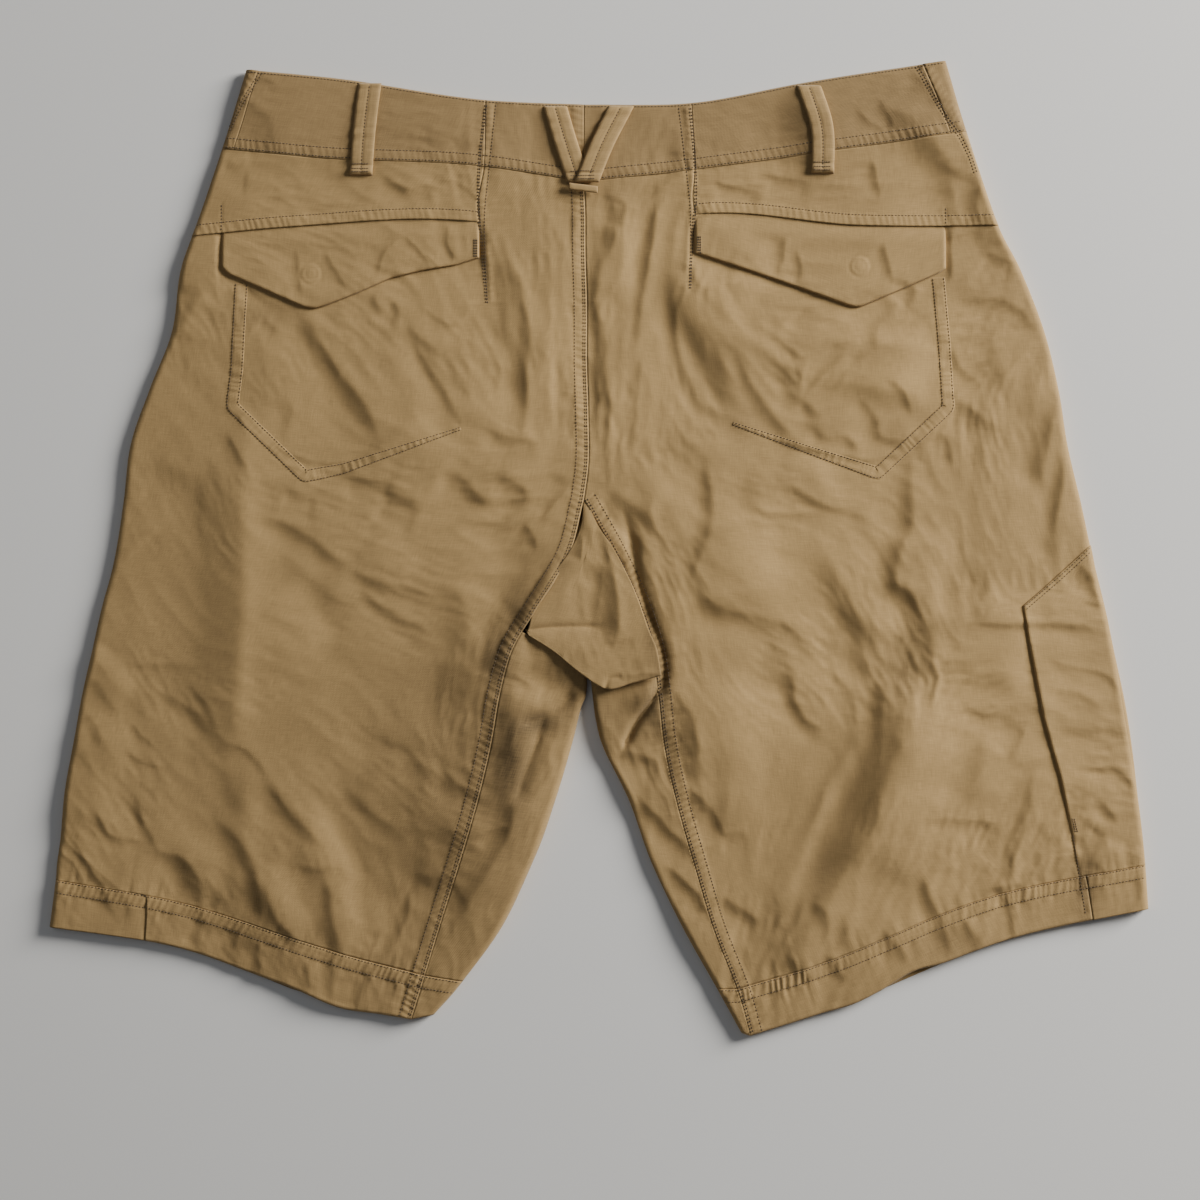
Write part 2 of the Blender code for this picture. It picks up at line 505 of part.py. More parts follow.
def hems():
    """Back hem bands, the gusset's hem ends and the front hem bands that turn round the side."""
    for side, half, join in (("left", LEFT, HEM_JOIN_LEFT), ("right", RIGHT, HEM_JOIN_RIGHT)):
        rows = half.rows_between(half.row("hem_stitch"), half.row("hem_edge"), 15)
        for part, columns, roll in (("back", columns_between(join, SEAM, 12), False),
                                    ("gusset", columns_between(SEAM, INSEAM, 2), True)):
            grid = inset(half.plan(rows, columns), SEAM_INSET, 0 if roll else SEAM_INSET, SEAM_INSET)
            points = lifted(grid, half, rows, BAND_CALM * 2, HEM_RISE, roll_inseam=roll)
            piece(f"hem_{part}_{side}", points, DOUBLE)
        turned_piece(f"hem_front_{side}", half, rows, join, INSEAM, 0.0, CLOTH)


def gussets():
    """The gusset's two leg strips and the centre, which stands up in folds at the crotch."""
    for side, half in (("left", LEFT), ("right", RIGHT)):
        rows = half.rows_between(half.row("thigh_1", 14), half.row("hem_stitch"), 11)
        columns = columns_between(SEAM, INSEAM, 4)
        grid = inset(half.plan(rows, columns), left=SEAM_INSET, bottom=SEAM_INSET)
        piece(f"gusset_{side}", lifted(grid, half, rows, roll_edge=False, roll_inseam=True))
    table = np.array([np.column_stack((row[1:4], row[4])) for row in GUSSET_CENTRE], float)
    knots = np.arange(len(table), dtype=float)
    lines = smooth(np.linspace(0, knots[-1], 15), knots, table)
    grid = np.stack([smooth(np.linspace(0, 2, 11), np.arange(3.0), line) for line in lines])
    grid[:, 0, :2] += (2 * SEAM_INSET, 0)
    grid[:, -1, :2] -= (2 * SEAM_INSET, 0)
    hidden = grid[-1] + (0, GUSSET_TURN_IN, -GUSSET_TURN_DOWN)
    piece("gusset_centre", np.concatenate((grid, hidden[None])))


def flaps():
    """Pointed pocket flaps, which hang from the yoke seam; a snap inside shows as a round rise."""
    for side, half, edge, snap in (("left", LEFT, LEFT_FLAP_EDGE, LEFT_SNAP),
                                   ("right", RIGHT, RIGHT_FLAP_EDGE, RIGHT_SNAP)):
        close = SNAP_RADIUS * np.array((-1.5, -0.8, 0, 0.8, 1.5))
        x = np.linspace(edge[0][0], edge[-1][0], FLAP_COLUMNS + 1)
        x = np.sort(np.append(x[np.abs(x - snap[0]) > 2 * SNAP_RADIUS], snap[0] + close))
        seam = half.plan((half.row("yoke_seam", SEAM_INSET),), np.linspace(EDGE, DART, 40))[0]
        order = np.argsort(seam[:, 0])
        top = np.interp(x, seam[order, 0], seam[order, 1])
        bottom = flap_bottom(edge, x)
        middle = np.argmin(np.abs(x - snap[0]))
        drop = top[middle] - bottom[middle]
        at_snap = (top[middle] - snap[1]) / drop
        share = np.linspace(0, 1, FLAP_ROWS + 1)
        share = share[np.abs(share - at_snap) > 1.9 * SNAP_RADIUS / drop]
        share = np.sort(np.append(share, at_snap + close / drop))[:, None]
        y = top + share * (bottom - top)
        x = np.broadcast_to(x, y.shape)
        rise = SNAP_RISE * np.exp(-(np.hypot(x - snap[0], y - snap[1]) / SNAP_RADIUS)**4)
        z = height(x, y) - FLAP_RECESS + LAYER_GAP + DOUBLE + rise + FLAP_POINT_RISE * share**2
        piece(f"flap_{side}", np.dstack((x, y, z)), DOUBLE)


def band_along(line, width, lift, level=False):
    """Points of a flat band of even width along a line, raised by lift; its ends are level where asked."""
    tangent = np.gradient(line, axis=0)
    tangent /= np.linalg.norm(tangent, axis=1, keepdims=True)
    normal = np.stack((-tangent[:, 1], tangent[:, 0]), axis=1)
    if level:
        normal = np.column_stack((1 / normal[:, 0], np.zeros(len(line))))
    shares = np.array((-0.5, 0.5)) * width
    grid = line[:, None] + shares[None, :, None] * normal[:, None]
    return grid, np.broadcast_to(np.reshape(lift, (-1, 1)), grid.shape[:2])


def back_pockets():
    """The stitched edge of each pocket bag, a raised band on the back panel."""
    for side, edge in (("left", LEFT_POCKET_EDGE), ("right", RIGHT_POCKET_EDGE)):
        line = curve(np.linspace(0, 1, POCKET_STEPS + 1), edge)
        grid, lift = band_along(line, POCKET_BAND, LAYER_GAP + POCKET_WALL)
        x, y = grid[..., 0], grid[..., 1]
        z = top_of((f"back_panel_{side}",), x, y) + lift
        piece(f"back_pocket_{side}", np.dstack((x, y, z)), POCKET_WALL)


def belt_loops():
    """Loops that stand off the back waistband, and plain ones under the front waistband."""
    for name, top, bend, bottom, over in BELT_LOOPS:
        fold = LOOP_FOLD / np.linalg.norm(np.subtract(top, bottom))
        share = np.append(np.linspace(0, 1 - fold, LOOP_STEPS), (1 - 0.8 * fold, 1))
        line = curve(share, (top, bend, bottom))
        lift = TOP_RISE + LAYER_GAP + DOUBLE + LOOP_LIFT * np.sin(np.pi * share)**0.7 + over * share
        lift[-2:] += LOOP_FOLD_RISE
        grid, lift = band_along(line, LOOP_WIDTH, lift, level=True)
        x, y = grid[..., 0], grid[..., 1]
        centre = height(line[:, 0], line[:, 1], BAND_CALM)[:, None]
        points = np.dstack((x, y, centre + lift))
        piece(name, points, DOUBLE, LOOP_COLOUR)
    for name, x, y in FRONT_LOOPS:
        half_width = LOOP_WIDTH / 2
        xs = np.array((x - half_width, x + half_width))
        ys = np.array((y, y - FRONT_LOOP_LENGTH))
        grid = np.stack(np.meshgrid(xs, ys), axis=-1)
        points = np.dstack((grid, np.full(grid.shape[:2], FRONT_LOOP_WALL)))
        piece(name, points, FRONT_LOOP_WALL, LOOP_COLOUR)


def turned_under(edge, distance):
    """Plan points on the under layer, at a distance from the outline points of the cargo pocket."""
    share = np.clip((CARGO_TOP - edge[:, 1:]) / (CARGO_TOP - CARGO_HEM), 0, 1)
    return edge - distance * np.concatenate((np.ones_like(share), CARGO_HEM_SLOPE * share), axis=1)


def cargo_pocket_right():
    """A patch on the outside of the right leg: open along its back edge, caught in the hem, turned round."""
    table = np.array([row[1:] for row in CARGO_POCKET], float)
    steps = np.linalg.norm(np.diff(table, axis=0), axis=2).mean(axis=1)
    knots = np.concatenate(([0], np.cumsum(steps)))
    fine = np.unique(np.concatenate((np.linspace(0, knots[-1], 17), knots)))
    lines = smooth(fine, knots, table)
    opening = np.interp(fine, knots, np.arange(len(knots)))
    edge = lines[:, 0]
    shares = np.array(CARGO_ROW_COLUMNS)
    above = edge[:, None] + shares[None, :, None] * (lines[:, 1] - edge)[:, None]
    distance = np.linalg.norm(above - edge[:, None], axis=-1)
    open_part = np.clip(np.minimum(opening - CARGO_OPEN[0], CARGO_OPEN[1] - opening) / 1.2, 0, 1)[:, None]
    lift = 2 * LAYER_GAP + CLOTH + CARGO_LIFT * open_part * shares**3
    z = rolled(height(above[..., 0], above[..., 1]) + lift, distance)
    seat = top_of(("back_panel_right",), above[..., 0], above[..., 1]) + 2 * LAYER_GAP + CLOTH
    above = np.dstack((above, np.maximum(z, seat)))
    turn = [np.column_stack((edge, np.full(len(edge), level * CLOTH)))[:, None] for level in TURN_LEVELS]
    below = np.stack([turned_under(edge, step) for step in (CARGO_TURN_UNDER,) + CARGO_UNDER_STEPS], axis=1)
    below = np.dstack((below, np.zeros(below.shape[:2])))
    points = np.concatenate([below] + turn + [above], axis=1)
    points[-1, :, 1] += 2 * SEAM_INSET
    piece("cargo_pocket_right", points, CLOTH, upwards=False)


def under_layer():
    """Front panels, fly placket and the left cargo pocket, side by side and flat on the surface."""
    pocket_first, pocket_last = LEFT.row("crotch"), LEFT.row("leg_2")
    placket_last = LEFT.row("dart_end", 30)
    for side, half in (("left", LEFT), ("right", RIGHT)):
        rows = half.rows_between(half.row("band_seam", 1.0), half.row("hem_stitch", -1.2), UNDER_CELL)
        columns = np.array((EDGE,) + UNDER_COLUMNS + (INSEAM,))
        grid = half.plan(rows, columns)
        cut = np.zeros((len(rows) - 1, len(columns) - 1), bool)
        if side == "left":
            first = np.argmin(np.abs(rows - pocket_first))
            last = np.argmin(np.abs(rows - pocket_last))
            fly_end = np.argmin(np.abs(rows - placket_last))
            cut[first:last, :1] = True
            cut[:fly_end, 4:] = True
            seam = 2 * SEAM_INSET
            flat_piece("cargo_pocket_left", inset(grid[first:last + 1, :2], UNDER_INSET, seam, seam, seam))
            flat_piece("fly_placket", inset(grid[:fly_end + 1, 4:], seam, CENTRE_INSET, 0, seam))
        else:
            first = np.searchsorted(rows, half.row("crotch"))
        grid = inset(grid, UNDER_INSET, UNDER_INSET)
        if side == "right":
            edge = half.plan(rows, (EDGE,))[:, 0]
            edge[first - 1:first + 1, 1] = CARGO_TOP + UNDER_INSET, CARGO_TOP
            edge[first - 1:first + 1, 0] = CARGO_POCKET[0][1][0]
            grid[first - 1, 0] = edge[first - 1] - (UNDER_INSET, 0)
            grid[first:, 0] = turned_under(edge[first:], CARGO_TURN_UNDER + UNDER_INSET)
        upper = rows < half.row("thigh_2")
        grid[upper, -1] = half.plan(rows, (INSEAM,))[upper, 0]
        grid[upper, -1] = inset(grid, right=CENTRE_INSET)[upper, -1]
        flat_piece(f"front_panel_{side}", grid, cut)


def flat_piece(name, grid, without=None):
    """A piece of the under layer, flat on the surface."""
    points = np.dstack((grid, np.full(grid.shape[:2], UNDER_WALL)))
    piece(name, points, UNDER_WALL, UNDER_COLOUR, without)


def main():
    for item in list(bpy.data.objects):
        bpy.data.objects.remove(item, do_unlink=True)
    bpy.context.scene.collection.children.link(SHORTS)
    back_panels()
    yokes()
    waistband()
    hems()
    gussets()
    flaps()
    back_pockets()
    belt_loops()
    cargo_pocket_right()
    under_layer()


SHORTS = bpy.data.collections.new("cargo_shorts")
main()
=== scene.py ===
"""Cargo shorts in light canvas, laid flat with the back upwards: the cloth, its seams and its stitching.

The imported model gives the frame; each piece of cloth here stands for one of its solids. Laid out as an
add-on with one operator for each group of pieces, and run as a script. Tables are in millimetres.
"""

import bpy
import numpy as np
from bpy.props import FloatProperty, FloatVectorProperty, PointerProperty
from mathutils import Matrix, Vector
from mathutils.bvhtree import BVHTree


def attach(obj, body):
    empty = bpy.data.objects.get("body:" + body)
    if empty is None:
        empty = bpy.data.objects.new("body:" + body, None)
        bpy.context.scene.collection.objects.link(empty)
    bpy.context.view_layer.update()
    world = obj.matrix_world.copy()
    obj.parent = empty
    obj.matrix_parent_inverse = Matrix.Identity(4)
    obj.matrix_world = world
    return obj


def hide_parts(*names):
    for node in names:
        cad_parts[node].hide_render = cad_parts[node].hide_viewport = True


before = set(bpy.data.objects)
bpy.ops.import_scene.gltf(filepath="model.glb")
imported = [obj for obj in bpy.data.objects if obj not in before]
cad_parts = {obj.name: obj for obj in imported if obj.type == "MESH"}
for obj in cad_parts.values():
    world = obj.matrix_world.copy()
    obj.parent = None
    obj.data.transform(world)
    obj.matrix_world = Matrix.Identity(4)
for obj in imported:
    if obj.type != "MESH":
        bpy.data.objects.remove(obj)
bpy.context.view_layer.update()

bl_info = {
    "name": "Cargo shorts laid flat",
    "version": (1, 0, 0),
    "blender": (4, 5, 0),
    "location": "3D View > Sidebar > Shorts",
    "description": "Makes the cloth, seams, stitching and light of a pair of cargo shorts laid on a floor",
    "category": "Object",
}

MM = 0.001

# ---------------------------------------------------------------- layers and edges, millimetres
REST_HEIGHT = 6.2          # top of the upper layer where nothing lifts or presses it
LOFT = 1.0                 # further rise in the middle of the seat and the legs
LOFT_MIDDLE = 150.0        # that middle's distance from the centre back
LOFT_REACH = (110.0, 210.0)    # and how far the rise reaches, across and along
LOWEST_TOP = 2.6           # the upper layer never sinks below this
PRESS_SOFTNESS = 0.6       # how gently it comes to that lowest height
EDGE_TOP = 3.6             # height of the rolled edge at the outline
ROLL = 4.5                 # width over which the cloth rolls down to that edge
TURN_IN = 1.6              # how far the rolled edge comes back in below
TURN_LOW = 0.25            # and the height it comes to
UNDER_WALL = 1.1           # wall of the under layer
UNDER_INSET = 1.7          # the under layer stops this far inside the outline
CENTRE_INSET = 0.5         # the front pieces stop this far short of the centre front
LAYER_GAP = 0.5            # air between a piece and what it lies on
FLAP_RECESS = 1.3          # how far the panel lies lower under a flap
RECESS_FADE = 14.0         # width over which it comes back up
RECESS_TOP = 218.0         # and it isn't lowered above this height in plan, at the yoke seam
FLAP_HINGE = 12.0          # length over which a flap comes out from under the yoke's edge
BAND_CALM = 0.8            # share of each fold that is left in the waistband
HEM_CALM = 0.9             # and in the hems
TOP_RISE = 0.25            # the doubled waistband stands this much higher
HEM_RISE = 0.2             # the same for the hems
YOKE_EDGE_RISE = 0.7       # the yoke's folded lower edge stands this much higher
YOKE_EDGE_REACH = 7.0      # and comes down towards the waist over this length
STEEPEST = 0.36            # no fold falls more steeply than this
FOLD_SKEW = 0.5            # a fold is this much crisper on the side of the light, unless its row says
FOLD_RUN_OUT = 0.12        # a fold fades out this share of its length past its ends
FOLD_POINT = 0.45          # share of its width that is left at its ends
FOLD_FADE = 0.55           # and comes to its full height within this share
FOLD_REACH = 3.6           # the cloth comes back beside a fold within this many of its half widths
FOLD_LEAST_REACH = 4.0     # and this much more
FOLD_MOST_REACH = 60.0
FOLD_LIFT = 0.75           # a broad fold stands this much above the cloth instead of half below it
FOLD_BROAD = 18.0          # half width of a broad fold
LIGHT_FROM = (0.88, 0.47)  # side that the folds fall away from, in plan
UNEVENNESS = 0.5           # height of the slow waves of the laid cloth
LONG_WAVES = (31.0, 53.0, 37.0, 71.0)
SHORT_WAVES = (17.0, 23.0)
STREAKS = ((29, 22, 8), (17, 15, 5), (8, 9, 6), (4.2, 4, 7))    # size, length and seed of the small wrinkles
NARROWEST_CUT = 10.0       # a narrow strip is cut at least this wide, with its turned edges
COARSE = 5                 # the hidden side of a piece has one cell for this many on the shown side
YOKE_CELL = 0.85           # length of a yoke's cells, as a share of the panels'
SMALL_CELL = 0.8           # and of the cells of waistband, hems and gusset
FOLDED_EDGE = 1.4          # radius of the fold at the edge of waistband and hems
FOLDED_DROP = 0.7          # and how far it comes down, as a share of that radius
# About how wide the pieces are; only the number of their cells follows from it.
PANEL_WIDTHS = (225.0, 62.0)    # from the edge to the dart seam, and on to the centre
YOKE_WIDTH = 200.0
BAND_WIDTHS = (("side", 160.0), ("centre", 66.0))
HEM_COLUMN_WIDTH = 82.0    # of one column of the back hem
HEM_TURN_COLUMN_WIDTH = 78.0    # and of the part that turns round from the front
HEM_GUSSET_WIDTH = 16.0
STRIP_WIDTH = 42.0         # gusset strip
PLAIN_WALL = 1.0           # wall of the pieces that turn round the side, the front loops and the bar
CLOTHS = {
    # kind: material, slot
    "upper": ("khaki_canvas", "canvas"),
    "band": ("khaki_canvas_band", "canvas"),
    "under": ("khaki_canvas_under", "canvas_under"),
    "loop": ("khaki_canvas_loops", "loop_canvas"),
}

# ---------------------------------------------------------------- sections across each half, millimetres
# name, edge (outline), side, dart seam, centre back or gusset seam, inseam (outline between the legs)
LEFT_SECTIONS = (
    ("waist",      (-233, 316),  (-171, 310),  (-75, 296),   (-10, 293),   (-10, 293)),
    ("band_seam",  (-249, 264),  (-190, 258),  (-76, 252),   (-10, 242),   (-10, 242)),
    ("yoke_stitch", (-266, 214), (-205, 219),  (-80, 223),   (-9, 214),    (-9, 214)),
    ("yoke_seam",  (-269, 206),  (-205, 212),  (-79, 215),   (-9, 201),    (-9, 201)),
    ("flap_tip",   (-277, 181),  (-210, 177),  (-74, 171),   (-8, 161),    (-8, 161)),
    ("dart_end",   (-282, 144),  (-215, 142),  (-72, 138),   (-8, 124),    (-8, 124)),
    ("pocket_mid", (-297, 105),  (-222, 102),  (-68, 98),    (-7, 88),     (-7, 88)),
    ("seat",       (-310, 66),   (-228, 62),   (-63, 58),    (-7, 55),     (-7, 55)),
    ("rise",       (-314, 32),   (-233, 31),   (-64, 31),    (-10, 32),    (-10, 32)),
    ("crotch",     (-321, -11),  (-245, -13),  (-75, -15),   (-21, -7),    (-9, -30)),
    ("thigh_1",    (-329, -41),  (-255, -44),  (-88, -45),   (-43, -43),   (-9, -62)),
    ("thigh_2",    (-335, -68),  (-262, -71),  (-100, -71),  (-57, -67),   (-8, -93)),
    ("thigh_3",    (-341, -94),  (-268, -99),  (-110, -99),  (-65, -95),   (-12, -106)),
    ("thigh_4",    (-347, -127), (-275, -133), (-118, -134), (-71, -129),  (-18, -130)),
    ("leg_1",      (-353, -160), (-280, -168), (-125, -170), (-80, -167),  (-29, -167)),
    ("leg_2",      (-356, -193), (-288, -203), (-138, -214), (-92, -208),  (-44, -208)),
    ("leg_3",      (-358, -207), (-292, -217), (-148, -243), (-104, -246), (-64, -250)),
    ("hem_stitch", (-359, -219), (-285, -232), (-158, -271), (-115, -282), (-90, -286)),
    ("hem_edge",   (-363, -250), (-285, -262), (-163, -304), (-124, -311), (-109, -308)),
)
RIGHT_SECTIONS = (
    ("waist",      (229, 322),   (133, 307),   (61, 294),    (-10, 293),   (-10, 293)),
    ("band_seam",  (243, 275),   (173, 265),   (63, 250),    (-10, 242),   (-10, 242)),
    ("yoke_stitch", (261, 221),  (173, 220),   (62, 227),    (-9, 214),    (-9, 214)),
    ("yoke_seam",  (264, 213),   (173, 213),   (63, 220),    (-9, 201),    (-9, 201)),
    ("flap_tip",   (279, 183),   (183, 177),   (62, 171),    (-8, 161),    (-8, 161)),
    ("dart_end",   (294, 144),   (193, 141),   (61, 138),    (-8, 124),    (-8, 124)),
    ("pocket_mid", (304, 103),   (200, 100),   (59, 98),     (-7, 88),     (-7, 88)),
    ("seat",       (310, 66),    (203, 64),    (57, 58),     (-7, 55),     (-7, 55)),
    ("rise",       (318, 32),    (208, 31),    (58, 31),     (-10, 32),    (-10, 32)),
    ("crotch",     (326, -5),    (216, -8),    (71, -11),    (9, -2),      (-9, -30)),
    ("thigh_1",    (335, -42),   (223, -42),   (82, -42),    (26, -39),    (-8, -62)),
    ("thigh_2",    (341, -71),   (227, -71),   (90, -71),    (35, -68),    (-4, -100)),
    ("thigh_3",    (347, -99),   (231, -99),   (95, -101),   (39, -95),    (-2, -114)),
    ("thigh_4",    (352, -130),  (235, -132),  (99, -137),   (43, -130),   (3, -132)),
    ("leg_1",      (356, -164),  (239, -167),  (105, -175),  (51, -167),   (20, -167)),
    ("leg_2",      (359, -190),  (245, -201),  (117, -220),  (64, -213),   (37, -213)),
    ("leg_3",      (360, -198),  (256, -213),  (126, -248),  (75, -250),   (55, -250)),
    ("hem_stitch", (361, -209),  (266, -228),  (135, -278),  (91, -291),   (78, -291)),
    ("hem_edge",   (363, -238),  (275, -257),  (150, -306),  (100, -322),  (94, -320)),
)
EDGE, DART, SEAM, INSEAM = 0, 2, 3, 4
ROW = {section[0]: number for number, section in enumerate(LEFT_SECTIONS)}

